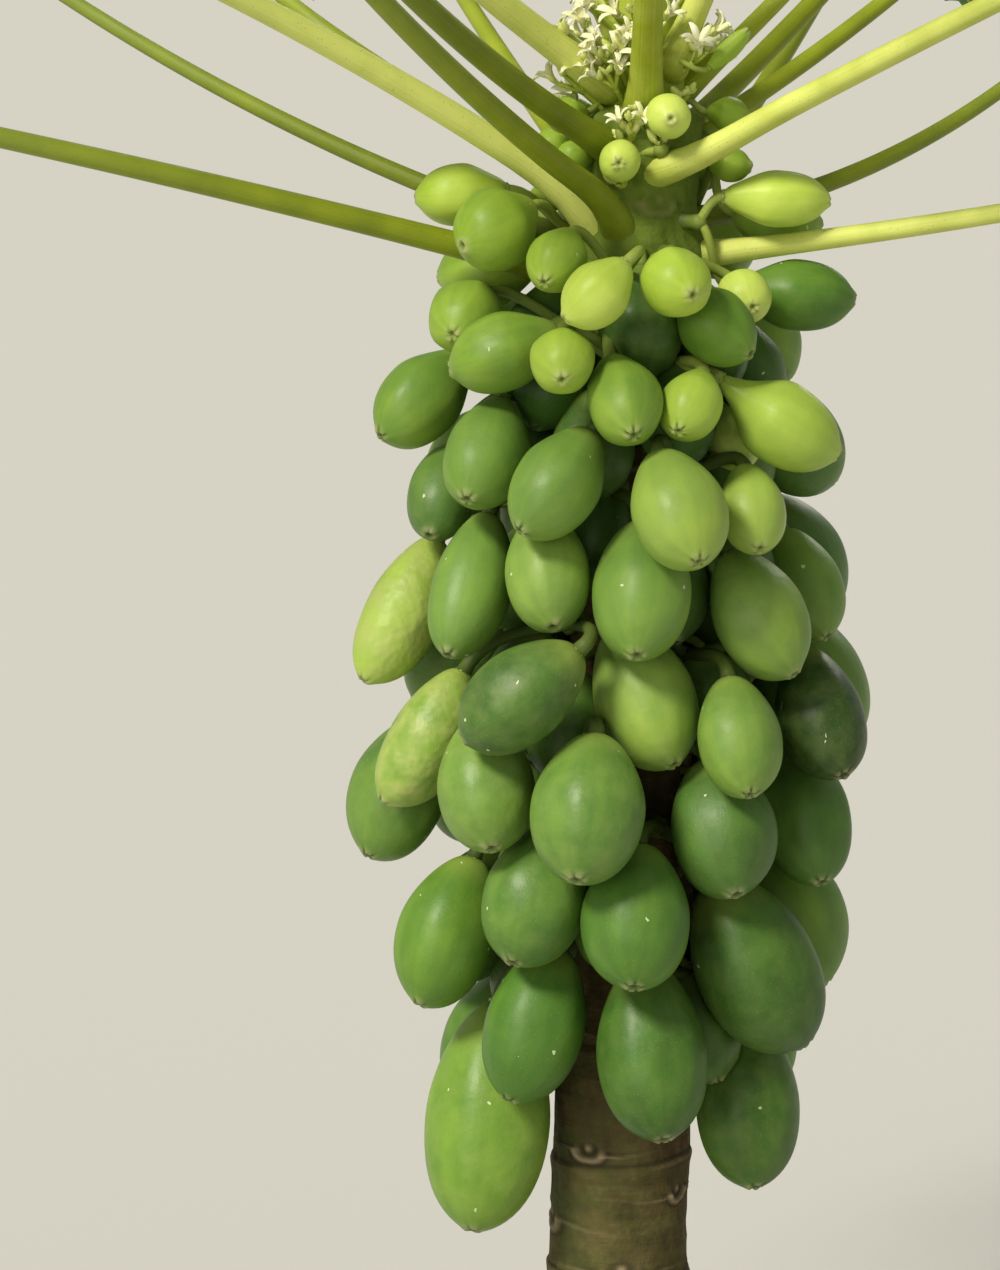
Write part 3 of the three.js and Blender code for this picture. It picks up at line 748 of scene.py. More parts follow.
def makeBark():
    material, tree = startMaterial("bark")
    place = objectPlace(tree)
    x, z = split(tree, place)[0], split(tree, place)[2]
    specks = patchy(tree, place, 90, 3)
    upright = noise(tree, stretched(tree, place, (38, 38, 11)), 1.6, 5, 0.65)
    level = noise(tree, stretched(tree, place, (6, 6, 120)), 1.3, 4, 0.6)
    rough = noise(tree, place, 30, 5, 0.62)
    grain = plus(tree, times(tree, upright, 0.22), times(tree, level, 0.2))
    grain = plus(tree, grain, times(tree, rough, 0.58))
    colour = ramp(tree, grain, [
        (0.38, (0.036, 0.029, 0.008)),
        (0.5, (0.076, 0.061, 0.017)),
        (0.62, (0.140, 0.112, 0.038)),
    ])
    # moss patches, gathered on the left side where the light falls, so that side is greener and lighter: moss
    # with painted light
    oneSide = rescale(tree, x, -0.05, 0.07, 0.95, 0.25)
    mossAndLight = times(tree, patchy(tree, place, 11, 3), oneSide)
    colour = tint(tree, colour, mossAndLight, (0.074, 0.094, 0.026), 0.85)
    russet = patchy(tree, stretched(tree, place, (1, 1, 1.6)), 19, 4)
    russet = times(tree, russet, maths(tree, "SUBTRACT", 1.0, mossAndLight))
    colour = tint(tree, colour, russet, (0.105, 0.058, 0.028), 0.6)
    foot = rescale(tree, z, 0.42, 0.0, 0.0, 0.6)
    colour = tint(tree, colour, foot, (0.150, 0.074, 0.034))
    young = tint(tree, (0.125, 0.188, 0.020), specks, (0.220, 0.310, 0.040))
    colour = tint(tree, colour, rescale(tree, z, 1.38, 1.54, 0.0, 0.95), young)
    colour = tint(tree, colour, specks, (0.052, 0.044, 0.026), 0.3)
    # painted shade in the bark's hollows, under the scars' lips and beside the ridges
    colour = tint(tree, colour, attribute(tree, "groove"), (0.026, 0.020, 0.011))
    # pale scar tissue, with a painted highlight along the ridges' crests
    colour = tint(tree, colour, attribute(tree, "scar"), (0.360, 0.270, 0.165))
    return dress(material, {
        "Base Color": colour,
        "Roughness": between(tree, specks, 0.72, 0.92),
        "Normal": bumps(tree, (rough, 0.0035), (upright, 0.0008), (level, 0.0012),
                        (noise(tree, place, 260, 4), 0.0006)),
        "Specular IOR Level": 0.12,
    })


def makePetalSkin(name, colour, other, rough):
    material, tree = startMaterial(name)
    place = objectPlace(tree)
    return dress(material, {
        "Base Color": tint(tree, colour, patchy(tree, place, 70, 2.5), other),
        "Roughness": rough,
        "Normal": bumps(tree, (noise(tree, place, 500, 2), 0.0002)),
    })


skins = {"bark": makeBark(), "fruit": makeFruitSkin()}
skinColours = [
    (makeStalkSkin, {        # dull, middling, bright, then the colour far along it
        "fruitStalk": [(0.062, 0.095, 0.018), (0.18, 0.24, 0.04), (0.40, 0.47, 0.085), (0.30, 0.38, 0.07)],
        "leafStalk": [(0.075, 0.11, 0.014), (0.30, 0.36, 0.014), (0.74, 0.78, 0.20), (0.30, 0.38, 0.07)],
        "greenTip": [(0.12, 0.19, 0.018), (0.30, 0.38, 0.03), (0.50, 0.58, 0.08), (0.40, 0.48, 0.08)],
    }),
    (makeBladeSkin, {        # dark, light, the veins, then how far they stand up
        "bladeTop": [(0.018, 0.070, 0.010), (0.062, 0.170, 0.020), (0.250, 0.350, 0.100), -0.0012],
        "bladeUnder": [(0.085, 0.175, 0.042), (0.165, 0.285, 0.070), (0.360, 0.460, 0.170), 0.0022],
        "youngTop": [(0.090, 0.200, 0.022), (0.200, 0.340, 0.040), (0.420, 0.500, 0.150), -0.0010],
        "youngUnder": [(0.180, 0.290, 0.060), (0.270, 0.400, 0.095), (0.460, 0.540, 0.210), 0.0018],
    }),
    (makePetalSkin, {        # two colours, then the roughness
        "petal": [(0.90, 0.87, 0.48), (0.95, 0.94, 0.76), 0.5],
        "bud": [(0.46, 0.56, 0.10), (0.80, 0.78, 0.30), 0.45],
        "calyx": [(0.22, 0.30, 0.06), (0.38, 0.42, 0.11), 0.55],
    }),
]
for makeSkin, colours in skinColours:
    for name, values in colours.items():
        skins[name] = makeSkin(name, *values)
print("materials made")

makeCamera()
makeStudio()
print("camera and studio made")


# Trunk

barkRelief = {
    "sides": 160,
    "rings": (90, 6),
    "spread": [(0, 0), (0.64, 780), (1, 1700)],        # share of the rings, height they reach
    "ring": (2.5, 9, 4),        # height of a scar ring, half its depth up the trunk, its tilt
    "ringHeights": (90, 1560),
    "scarHeights": (40, 1670),
    "turn": 137.5,        # degrees from one leaf's scar to the next
    "rise": 27,
    "stray": 5,        # how far a scar lies off its place, in degrees and mm
    "anchor": (608, -31),        # height and bearing of one scar
    "eye": (19, 13),        # half width and half height of a scar
    "window": (150, 60),        # how far from its middle a scar is worked out
    "lip": 2.6,
    "hollow": 1.8,
    "knob": (2.8, 4.5),        # height and radius of the stub in the middle of each scar
    "greenFrom": (1500, 1590),        # the heights between which the scars fade
    "flare": (5, 6, 60),        # the root lobes' number, their height, and how far up they fade
    "weather": (1.1, 0.45),        # height of the broad and of the fine unevenness
    "crowded": (1.5, 220),        # height of the rings near the ground, and how far up they fade
    "blend": 14,        # the swellings fade out over this height below the bark's top
    "cushion": (17, 30, 30, 80),        # under a leaf stalk: height, half width, reach up and down
}


def wander(theta, z, seed, waves=9):        # a smooth random surface from -1 to 1
    draw = seeded(seed)
    total = np.zeros_like(theta)
    for k in range(waves):
        around = round(2 + 5 * abs(draw()))
        upward = 0.012 + 0.05 * abs(draw())
        total += np.sin(around * theta + upward * z + 6.3 * draw()) / waves ** 0.5
    return total


def acrossFrom(theta, bearing):        # the angle from a bearing, the short way round
    return np.angle(np.exp(1j * (theta - math.radians(bearing))))


def addRings(theta, z, relief, scar, groove):
    high, half, tilt = barkRelief["ring"]
    first, last = barkRelief["ringHeights"]
    for k, ringAt in enumerate(np.arange(first + trunk["scarStep"], last, trunk["scarStep"])):
        off = z - ringAt - tilt * np.sin(theta + 2.1 * k)
        relief += high * np.exp(-(off / np.where(off > 0, half * 0.4, half * 1.2)) ** 2)
        # a pale streak along part of each ring's crest: painted highlight
        partly = (0.5 + 0.8 * np.sin(2 * theta + 1.7 * k)).clip(0, 1)
        scar += 0.4 * partly * np.exp(-((off - 1) / 1.8) ** 2)
        # a dark line just above each ring's ridge: painted shade
        groove += 0.75 * np.exp(-((off - half * 0.75) / 2.4) ** 2)


def addScars(theta, z, radius, relief, scar, groove):        # an eye with a lip, a stub and two wings
    facts = barkRelief
    anchorHeight, anchorBearing = facts["anchor"]
    first = -int((anchorHeight - facts["scarHeights"][0]) / facts["rise"])
    last = int((facts["scarHeights"][1] - anchorHeight) / facts["rise"])
    wide, tall = facts["eye"]
    reachAcross, reachUp = facts["window"]
    knobHigh, knobWide = facts["knob"]
    draw = seeded(17)
    for n in range(first, last):
        stray = facts["stray"] * (n != 0)
        height = anchorHeight + facts["rise"] * n + stray * draw()
        bearing = anchorBearing + facts["turn"] * n + stray * draw()
        size = 1 + 0.2 * draw()
        strength = 0.75 + 0.25 * draw() if n else 1.0
        across = acrossFrom(theta, bearing) * radius / size
        up = (z - height) / size
        near = (np.abs(across) < reachAcross) & (np.abs(up) < reachUp)
        x, y = across[near], up[near]
        ring = np.hypot(x / wide, (y + 0.12 * np.abs(x)) / tall)
        lip = np.exp(-((ring - 1) / 0.24) ** 2) * (0.72 - 0.28 * np.tanh(y / 3))
        beyond = (np.abs(x) - wide).clip(min=0)
        wing = np.exp(-beyond / 34) * (np.abs(x) > wide * 0.7)
        edge = y + 4 + 2.5 * np.sin(x / 19 + n)
        crest = wing * np.exp(-(edge / np.where(edge > 0, 1.6, 4.5)) ** 2)
        wing = wing * np.exp(-(edge / 1.5) ** 2)
        centre = np.exp(-ring ** 4)
        knob = np.exp(-(x ** 2 + (y - 2) ** 2) / knobWide ** 2)
        strength *= 1 - 0.6 * smoothstep(*facts["greenFrom"], np.array(height))
        raised = facts["lip"] * (lip + 0.8 * crest) - facts["hollow"] * centre + knobHigh * knob
        relief[near] += strength * raised
        # the lip and the stub are pale scar tissue; the pale line on each wing's crest is a painted highlight
        scar[near] += strength * (0.75 * lip * (0.6 - 0.4 * np.tanh(y / 3)) + 0.5 * wing + 0.85 * knob)
        # painted shade in the scar's sunken middle, under its lower lip and just above each wing
        dark = 0.75 * centre * (1 - knob) + 0.8 * np.exp(-((ring - 1.45) / 0.16) ** 2) * (y < 0)
        dark = dark + 0.7 * np.exp(-beyond / 40) * (np.abs(x) > wide) * np.exp(-((edge - 4) / 2.2) ** 2)
        groove[near] += strength * dark


def cushions(theta, z, radius):        # the trunk swells under each leaf stalk
    high, wide, reachUp, reachDown = barkRelief["cushion"]
    cushion = np.zeros(len(z))
    for k, leaf in enumerate(leaves):
        bearing, height = leaf[:2]
        if k in turnedFeet:
            bearing, height, heading = turnedFeet[k][:3]
            bearing -= 0.15 * (heading - bearing)
        x = acrossFrom(theta, bearing) * radius
        y = z - height
        swelling = np.exp(-(x / wide) ** 2 - (y / np.where(y > 0, reachUp, reachDown)) ** 2)
        cushion = np.maximum(cushion, swelling)
    return high * cushion * (1 - smoothstep(trunk["top"] - barkRelief["blend"], trunk["top"], z))


def roundTrunk(theta, z, radial):
    return trunkMiddle(z) + np.stack([radial * np.sin(theta), -radial * np.cos(theta), 0 * z], axis=1)


def makeTrunk():
    facts = barkRelief
    form = makeTubeForm(facts["sides"], *facts["rings"])
    co = coordinates(form.data)
    theta = np.arctan2(co[:, 0], -co[:, 1])        # 0 faces the camera
    z = along(facts["spread"], co[:, 2])
    radius = skinAt(z)
    relief, scar, groove = np.zeros((3, len(co)))
    addRings(theta, z, relief, scar, groove)
    addScars(theta, z, radius, relief, scar, groove)
    lobes, lobeHigh, fade = facts["flare"]
    relief += lobeHigh * np.cos(lobes * theta + 0.6) * np.exp(-z / fade)
    broad, fine = facts["weather"]
    relief += broad * wander(theta, z, 3) + fine * wander(4 * theta, 3 * z, 9)
    crowdedHigh, fade = facts["crowded"]
    wave = np.sin(z / 5.2 + 1.2 * np.sin(theta * 2) + wander(theta, z, 21))
    relief += crowdedHigh * np.exp(-z / fade) * wave
    relief += cushions(theta, z, radius)
    atEnds = np.hypot(co[:, 0], co[:, 1])
    points = roundTrunk(theta, z, (radius + relief) * atEnds)
    piece = copyOf(form, "trunk_bark", points, scar=scar.clip(0, 1) * atEnds, groove=groove.clip(0, 0.9))
    drop(form)
    finishPiece(piece, skins["bark"], ["trunk"])


makeTrunk()
print("trunk made")


# Fruit

fruitShape = {
    "segments": 48,
    "rings": 34,
    "stalkPower": 1.8,        # how full each end is
    "tipPower": 2.12,
    "low": 0.07,        # how far the widest place lies towards the tip
    "ribs": (0.065, 0.17),        # height and softness of the five ridges
    "curl": 0.08,        # how far a drooping fruit's tip turns up
    "oval": 0.02,
    "crowd": (0.35, 0.5),        # the rings crowd towards the tip: how much, and from how far
    "neck": [(1250, 0.03), (1400, 0.16), (1620, 0.22)],        # height, how far the stalk end narrows
    "point": [(900, 0.03), (1300, 0.05), (1620, 0.08)],        # height, how far the tip is drawn out
    "pointReach": 0.05,        # of the drawn-out tip
    "pit": (1.7, 0.02, 2.4),        # the blossom's scar: least radius, more for the width, depth
    "rim": (2.0, 0.8, 1.7, 2.6),        # round it: radius and width over the pit's, height, creases' depth
    "hollow": (3.0, 9),        # at the stalk: depth and radius
    "bloom": [(850, 0.02), (1000, 0.10), (1300, 0.14), (1450, 0.03), (1620, 0)],        # waxy film
    "touch": 0.8,        # gap left where two fruit press on each other
    "plump": 1.015,        # the solids' flats lie inside the round fruit
}


def makeFruitForm():
    facts = fruitShape
    deselect()
    bpy.ops.mesh.primitive_uv_sphere_add(segments=facts["segments"], ring_count=facts["rings"], radius=1)
    form = bpy.context.object
    for inset in (0.028, 0.022):        # finer rings round the blossom's scar
        chooseParts(form, "FACE", lambda heights: min(heights) < -0.9999)
        bpy.ops.mesh.inset(thickness=inset, use_even_offset=False)
        bpy.ops.object.mode_set(mode="OBJECT")
    return form


def fruitProfile(f, u):        # share of the half width at u, from -1 at the stalk to 1 at the tip
    power = np.where(u < 0, fruitShape["stalkPower"], fruitShape["tipPower"])
    share = (1 - np.abs(u).clip(0, 1) ** power) ** (1 / power)
    return share * (1 - f["neck"] * smoothstep(0.1, 0.8, -u) * (1 - 0.3 * smoothstep(0.85, 1.0, -u)))


def fruitFrame(f):
    side = sideOf(f["axis"], 0.1)
    return side, np.cross(f["axis"], side)


def curlRise(f, u):        # how far the bent axis lies off the straight one
    return f["curl"] * f["long"] * u.clip(0, 1) ** 2


def shapeFruit(co, f):
    facts = fruitShape
    fromTip = np.arccos((-co[:, 2] / np.linalg.norm(co, axis=1)).clip(-1, 1))
    crowd, crowdFrom = facts["crowd"]
    u = np.cos(fromTip * (1 - crowd * np.exp(-(fromTip / crowdFrom) ** 2)))
    theta = np.arctan2(co[:, 1], co[:, 0])
    share = fruitProfile(f, u)
    ribHigh, ribSoft = facts["ribs"]
    ridge = 0.65 - np.sqrt(np.sin(2.5 * theta + f["roll"]) ** 2 + ribSoft ** 2)
    share = share * (1 + ribHigh * f["rib"] * ridge * (1 - 0.5 * u ** 2))
    share = share * (1 + facts["oval"] * np.cos(2 * theta + 3 * f["roll"]))
    out = share * f["wide"] / 2
    ahead = u + facts["low"] * (1 - u ** 2)
    ahead = (ahead + f["point"] * np.exp(-(1 - u) / facts["pointReach"]) * (u > 0)) * f["long"] / 2
    pitLeast, pitShare, pitDepth = facts["pit"]
    pit = pitLeast + pitShare * f["wide"]
    lobes = 0.5 + 0.5 * np.cos(5 * theta + f["roll"] + 0.5 * np.sin(theta + 2 * f["roll"]))
    uneven = 1 + 0.3 * np.cos(theta + 5 * f["roll"]) + 0.2 * np.cos(3 * theta + 8 * f["roll"])
    hole = np.exp(-(out / (pit * (1.05 + f["star"] * (0.6 * lobes - 0.35)))) ** 2) * (u > 0)
    rimRadius, rimWide, rimHigh, creaseDepth = facts["rim"]
    rim = np.exp(-((out - rimRadius * pit) / (rimWide * pit * uneven)) ** 2) * (u > 0.8)
    creases = f["star"] * (1 - lobes) ** 3
    ahead = ahead - pitDepth * hole + (rimHigh - creaseDepth * creases) * uneven * rim
    hollowDepth, hollowRadius = facts["hollow"]
    ahead = ahead + hollowDepth * np.exp(-(out / hollowRadius) ** 2) * (u < -0.8)
    side, over = fruitFrame(f)
    bend = f["bend"] * f["long"] * (1 - u ** 2)
    tilt = np.arctan(4 * f["curl"] * u.clip(0, 1))        # each section turns with the bent axis
    upright = out * np.sin(theta)
    points = f["middle"] + np.outer(ahead + upright * np.sin(tilt), f["axis"])
    points = points + np.outer(out * np.cos(theta) + bend * math.cos(f["roll"]), side)
    points = points + np.outer(upright * np.cos(tilt) + bend * math.sin(f["roll"]) - curlRise(f, u), over)
    look = {
        "scar": 0.85 * hole + 0.75 * creases * rim,
        "button": (1 - creases).clip(0, 1) * (0.5 + 0.3 * uneven) * rim,
        "neck": smoothstep(0.55, 1.0, -u),
        "tone": f["tone"],
        "blotch": f["blotch"],
        "bloom": f["bloom"],
    }
    return points, look


# Where a fruit's skin runs into a neighbour it is drawn back to the surface half way between
def pressBack(points, other, share):
    w = points - other["middle"]
    a = w @ other["axis"]
    s = a / (other["long"] / 2)
    u = s - fruitShape["low"] * (1 - s.clip(-1, 1) ** 2)
    radial = w - np.outer(a, other["axis"]) + np.outer(curlRise(other, u), fruitFrame(other)[1])
    r = np.linalg.norm(radial, axis=1)
    wall = fruitProfile(other, u) * other["wide"] / 2
    deep = np.where(np.abs(u) < 1, wall + fruitShape["touch"] - r, 0).clip(min=0)
    return radial / np.maximum(r, 1e-6)[:, None] * (deep * share)[:, None]


def pushedOut(points, away, least):        # away leads here from the middle, and least is its least length
    room = np.linalg.norm(away, axis=1)
    deep = (least - room).clip(min=0)
    return points + away / np.maximum(room, 1e-6)[:, None] * deep[:, None]


def clearOfTree(points):        # out of the trunk and the leaf stalks
    points = pushedOut(points, points - trunkMiddle(points[:, 2]), skinAt(points[:, 2]) + 4)
    for path, leaf in zip(petiolePaths, leaves):
        start, span = path[0], path[len(path) // 2] - path[0]
        share = (((points - start) @ span) / span.dot(span)).clip(0, 1)
        away = points - (start + np.outer(share, span))
        points = pushedOut(points, away, petiole["radius"] * leaf[6] + 1)
    return points


def isNear(f, other):
    return np.linalg.norm(other["middle"] - f["middle"]) < (f["long"] + other["long"]) / 2


petiolePaths = [petiolePath(leaf, 40) for leaf in leaves]
for k, place in turnedFeet.items():
    petiolePaths[k] = turnFoot(petiolePaths[k], *place)
groups = frontGroups() + farGroups()
allFruit = [f for members in groups for f in members]
settle(allFruit, [petiolePath(leaf, 4)[[0, 2]] for leaf in leaves])
varyFruit = seeded(31)


character = {        # what makes each fruit's shape and skin its own
    "rib": (0.7, 0.5),        # the usual value, and how far it strays
    "bend": 0.012,
    "neck": 0.03,
    "bloom": 1.6,
    "star": (0.75, 0.45),        # the creases round the blossom's scar
    "faint": (1350, 1550, 0.35),        # the heights between which they weaken, and how much
    "lumpy": (0.65, -150, 1300),        # paler than this tone, further left than this, and lower
    "blotch": 0.22,
}


def giveCharacter(f):
    draw, facts = varyFruit, character
    height = f["middle"][2]
    f["wide"] *= fruitShape["plump"]
    f["roll"] = 3.1 * draw()
    f["rib"] = facts["rib"][0] + facts["rib"][1] * draw()
    f["bend"] = facts["bend"] * (1 + draw())
    f["curl"] = fruitShape["curl"] * max(0, -f["axis"][2])
    usualNeck = float(along(fruitShape["neck"], height)) + facts["neck"] * draw()
    f["neck"] = f.get("ownNeck") or usualNeck
    f["point"] = float(along(fruitShape["point"], height))
    f["bloom"] = float(along(fruitShape["bloom"], height)) * facts["bloom"] * f["tone"]
    low, high, weaker = facts["faint"]
    star, strays = facts["star"]
    f["star"] = star + strays * draw() - weaker * smoothstep(low, high, np.array(height))
    tone, left, below = facts["lumpy"]
    lumpy = f["tone"] > tone and f["middle"][0] < left and height < below
    f["blotch"] = 1.0 if lumpy else facts["blotch"] * abs(draw())


for f in allFruit:
    giveCharacter(f)
print("fruit settled")


def makeFruit():
    form = makeFruitForm()
    co = coordinates(form.data)
    for g, members in enumerate(groups):
        parts = []
        for f in members:
            points, look = shapeFruit(co, f)
            moved = np.zeros_like(points)
            for other in allFruit:
                if other is not f and isNear(f, other):
                    moved += pressBack(points, other, 0.5)
            parts.append(copyOf(form, "fruit", clearOfTree(points + moved), **look))
        piece = joinAs("fruit_%02d" % (g + 1), parts)
        finishPiece(piece, skins["fruit"], ["fruit_cluster_%02d" % (g + 1)])
    drop(form)


makeFruit()
print("fruit made:", len(allFruit))


# Fruit stalks

stalk = {
    "radius": 6.5,
    "knuckleRadius": 15,
    "knuckleLength": 26,
    "inside": 12,
    "bow": 0.35,        # how far a stalk keeps its first and its last direction, over its length
    "young": (1350, 1650, 0.3),        # the heights between which stalks turn pale, and how much they slim
    "raises": [22, 40, 6, -14, 60, -34, 80, -54],
    "turns": [0, 16, -16, 32, -32, 48, -48, 64, -64],
    "lowered": {3: [-40, -54, -26, -14], 10: [-40, -26, -54, -14]},        # these stay behind their fruit
    "pale": {7: 0.8},        # a pair whose stalk is pale for its height
}
calyxShape = {
    "teeth": 5,
    "radius": 9.5,        # at the teeth, for a fruit of the usual width
    "inner": 6.2,        # between the teeth
    "usualWidth": 110,
    "narrower": 0.3,        # how much of the radius goes with the fruit's width
    "thick": 2.4,
    "lift": 2.0,        # how far the teeth bend along the fruit
    "sunk": 2.5,
}


def shoulderOf(f):
    return f["middle"] - f["axis"] * f["long"] / 2


def turned(v, degrees):
    a = math.radians(degrees)
    return np.array([v[0] * math.cos(a) - v[1] * math.sin(a), v[0] * math.sin(a) + v[1] * math.cos(a), 0])


def outFrom(point):        # level, from the trunk's middle towards a point
    out = point - trunkMiddle(point[2])
    out[2] = 0
    return unit(out)


def stalkPaths(members, raised, turn):
    mean = sum(shoulderOf(f) for f in members) / len(members)
    out = turned(outFrom(mean), turn)
    height = mean[2] + raised
    bark = skinAt(height)
    start = besideTrunk(out, bark + stalk["knuckleLength"] * 0.5, height)
    ends = (-stalk["inside"], stalk["knuckleLength"])
    knuckle = [besideTrunk(out, bark + end, height) for end in ends]
    paths = []
    for f in members:
        end = shoulderOf(f)
        gap = np.linalg.norm(end - start)
        bow = gap * stalk["bow"]
        paths.append(bezier(start, start + out * bow, end - f["axis"] * bow, end + f["axis"] * 5, 14))
    return knuckle, paths


def clash(paths, members):        # how deep the stalks run into fruit and leaf stalks
    points = np.concatenate([p[:-2] for p in paths])
    total = 0.0
    for f in allFruit:
        own = any(f is member for member in members)
        w = points - f["middle"]
        a = w @ f["axis"]
        u = a / (f["long"] / 2)
        r = np.linalg.norm(w - np.outer(a, f["axis"]), axis=1)
        wall = fruitProfile(f, u) * f["wide"] / 2
        deep = np.where(np.abs(u) < 1, wall + stalk["radius"] * (not own) - r, 0).clip(min=0)
        total += deep.sum()
    for path in petiolePaths:
        gaps = np.linalg.norm(points[:, None, :] - path[None, :20, :], axis=2).min(axis=1)
        total += (petiole["radius"] + stalk["radius"] - gaps).clip(min=0).sum()
    return total


def bestStalks(members, raises):        # the first of those that clash least
    tries = [stalkPaths(members, raised, turn) for raised in raises for turn in stalk["turns"]]
    return min(tries, key=lambda found: clash(found[1], members))


stalkLines = []


def makeStalks():
    tube = makeTubeForm(10, 12)
    far = coordinates(tube.data)[:, 2]
    deselect()
    bpy.ops.mesh.primitive_cylinder_add(vertices=calyxShape["teeth"] * 4, radius=1, depth=1,
                                        end_fill_type="TRIFAN")
    star = bpy.context.object
    steps = np.linspace(0, 1, 13)
    ends = np.linspace(0, 1, 8)
    for g, members in enumerate(groups):
        node = "fruit_cluster_%02d" % (g + 1)
        knuckle, paths = bestStalks(members, stalk["lowered"].get(g, stalk["raises"]))
        stalkLines.extend(paths)
        low, high, slimmer = stalk["young"]
        young = float(smoothstep(low, high, np.array(members[0]["middle"][2])))
        thick = stalk["radius"] * (1 - slimmer * young)
        young = stalk["pale"].get(g, young)
        line = knuckle[0] + np.outer(ends, knuckle[1] - knuckle[0])
        bulge = stalk["knuckleRadius"] * (1 - slimmer * young) * (1 - 0.35 * ends + 0.12 * np.sin(9 * ends))
        bulge[-1] *= 0.45
        tone = 0.05 + (0.05 + 0.6 * young) * far
        parts = [copyOf(tube, "stalk", layTube(tube, line, bulge), tone=tone, far=0.0)]
        radii = thick * (1 + 0.35 * np.exp(-((1 - steps) / 0.12)) + 0.15 * np.exp(-steps / 0.1))
        for path in paths:
            parts.append(copyOf(tube, "stalk", layTube(tube, path, radii), tone=0.1 + 0.8 * young,
                                far=0.7 * young * far ** 2))
        finishPiece(joinAs("fruit_stalks_%02d" % (g + 1), parts), skins["fruitStalk"], [node])
        collars = joinAs("fruit_collars_%02d" % (g + 1), [makeCalyx(star, f) for f in members])
        finishPiece(collars, skins["calyx"])
    drop(tube, star)


def makeCalyx(star, f):        # a small star round the stalk's end
    facts = calyxShape
    co = coordinates(star.data)
    theta = np.arctan2(co[:, 1], co[:, 0])
    rim = np.hypot(co[:, 0], co[:, 1])
    size = 1 - facts["narrower"] + facts["narrower"] * f["wide"] / facts["usualWidth"]
    teeth = np.abs(np.cos(facts["teeth"] / 2 * theta))
    out = rim * (facts["inner"] + (facts["radius"] - facts["inner"]) * teeth ** 1.5) * size
    side, over = fruitFrame(f)
    base = shoulderOf(f) + f["axis"] * facts["sunk"]
    lift = co[:, 2] * facts["thick"] + facts["lift"] * rim * teeth
    flat = np.outer(out * np.cos(theta), side) + np.outer(out * np.sin(theta), over)
    return copyOf(star, "collar", base + np.outer(lift, f["axis"]) + flat)


makeStalks()
print("fruit stalks made")


# Small fruit close to the trunk, where there is room between the others

innerFruit = {
    "levels": (730, 1500, 18),        # lowest height, highest height, step
    "bearings": (0, 360, 9),        # first and last place round the trunk that is tried, and the step
    "far": (28, 38, 50),        # from the bark to the fruit's middle
    "least": 21,        # least room round its middle
    "widest": 84,
    "swell": 1.5,        # its width over the room's, as it is pressed into shape
    "count": 40,
    "droop": 74,
    "ratio": 1.4,
    # deep green, set darker as painted shade of the recesses between the outer fruit
    "tone": 0.2,
}
youngFruit = {
    "levels": (1590, 1700, 10),
    "bearings": (80, 300, 9),
    "far": (26, 40),
    "least": 13,
    "widest": 36,
    "swell": 0.95,
    "count": 12,
    "droop": 8,
    "ratio": 1.3,
    "tone": 0.85,
}

# a slim young fruit that stands out beside the growing tip
longFruit = {"middle": np.array([108.0, -70.0, 1754.0]), "axis": unit(np.array([0.72, -0.12, 0.69])),
             "wide": 20, "long": 60, "tone": 0.9}


def fillGaps(rule, taken):
    spots, rooms, bearings = [], [], []
    for height in np.arange(*rule["levels"]):
        for bearing in np.arange(*rule["bearings"]):
            for far in rule["far"]:
                spot = besideTrunk(direction(bearing), skinAt(height) + far, height)
                free = [(np.linalg.norm(middles - spot, axis=1) - radius).min() for middles, radius in taken]
                spots.append(spot)
                rooms.append(min(far, *free))
                bearings.append(bearing)
    spots, rooms = np.array(spots), np.array(rooms)
    chosen = []
    while len(chosen) < rule["count"] and rooms.max() > rule["least"]:
        k = int(rooms.argmax())
        wide = min(2 * rooms[k] * rule["swell"], rule["widest"])
        chosen.append({
            "middle": spots[k],
            "axis": direction(bearings[k], -rule["droop"]),
            "wide": wide,
            "long": wide * rule["ratio"],
            "tone": rule["tone"],
        })
        giveCharacter(chosen[-1])
        rooms = np.minimum(rooms, np.linalg.norm(spots - spots[k], axis=1) - wide * 0.62)
    return chosen


smallStalk = {
    "radius": (2.2, 0.035),        # least, and more for the fruit's width
    "swell": np.array([1.4, 1.0, 1.0, 1.3]),        # of that second part, from the trunk to the fruit
    "rise": 14,        # its foot on the trunk is this far above its other end
    "inside": 5,
    "bow": (16, 12),        # how far it keeps its first and its last direction
    "sunk": 4,        # into the fruit
}


def makeSmallFruit(name, chosen):
    form = makeFruitForm()
    co = coordinates(form.data)
    tube = makeTubeForm(8, 6)
    parts, stalks = [], []
    for f in chosen:
        points, look = shapeFruit(co, f)
        for other in allFruit:
            if isNear(f, other):
                points = points + pressBack(points, other, 1.0)
        parts.append(copyOf(form, "fruit", clearOfTree(points), **look))
        end = shoulderOf(f) + f["axis"] * smallStalk["sunk"]
        height = end[2] + smallStalk["rise"]
        out = outFrom(end)
        start = besideTrunk(out, skinAt(height) - smallStalk["inside"], height)
        outBow, endBow = smallStalk["bow"]
        line = bezier(start, start + out * outBow, end - f["axis"] * endBow, end, 10)
        least, more = smallStalk["radius"]
        radii = least + more * f["wide"] * smallStalk["swell"]
        stalks.append(copyOf(tube, "stalk", layTube(tube, line, radii), tone=0.4 + 0.4 * f["tone"], far=0.2))
    drop(form, tube)
    finishPiece(joinAs(name, parts), skins["fruit"])
    finishPiece(joinAs(name + "_stalks", stalks), skins["fruitStalk"])


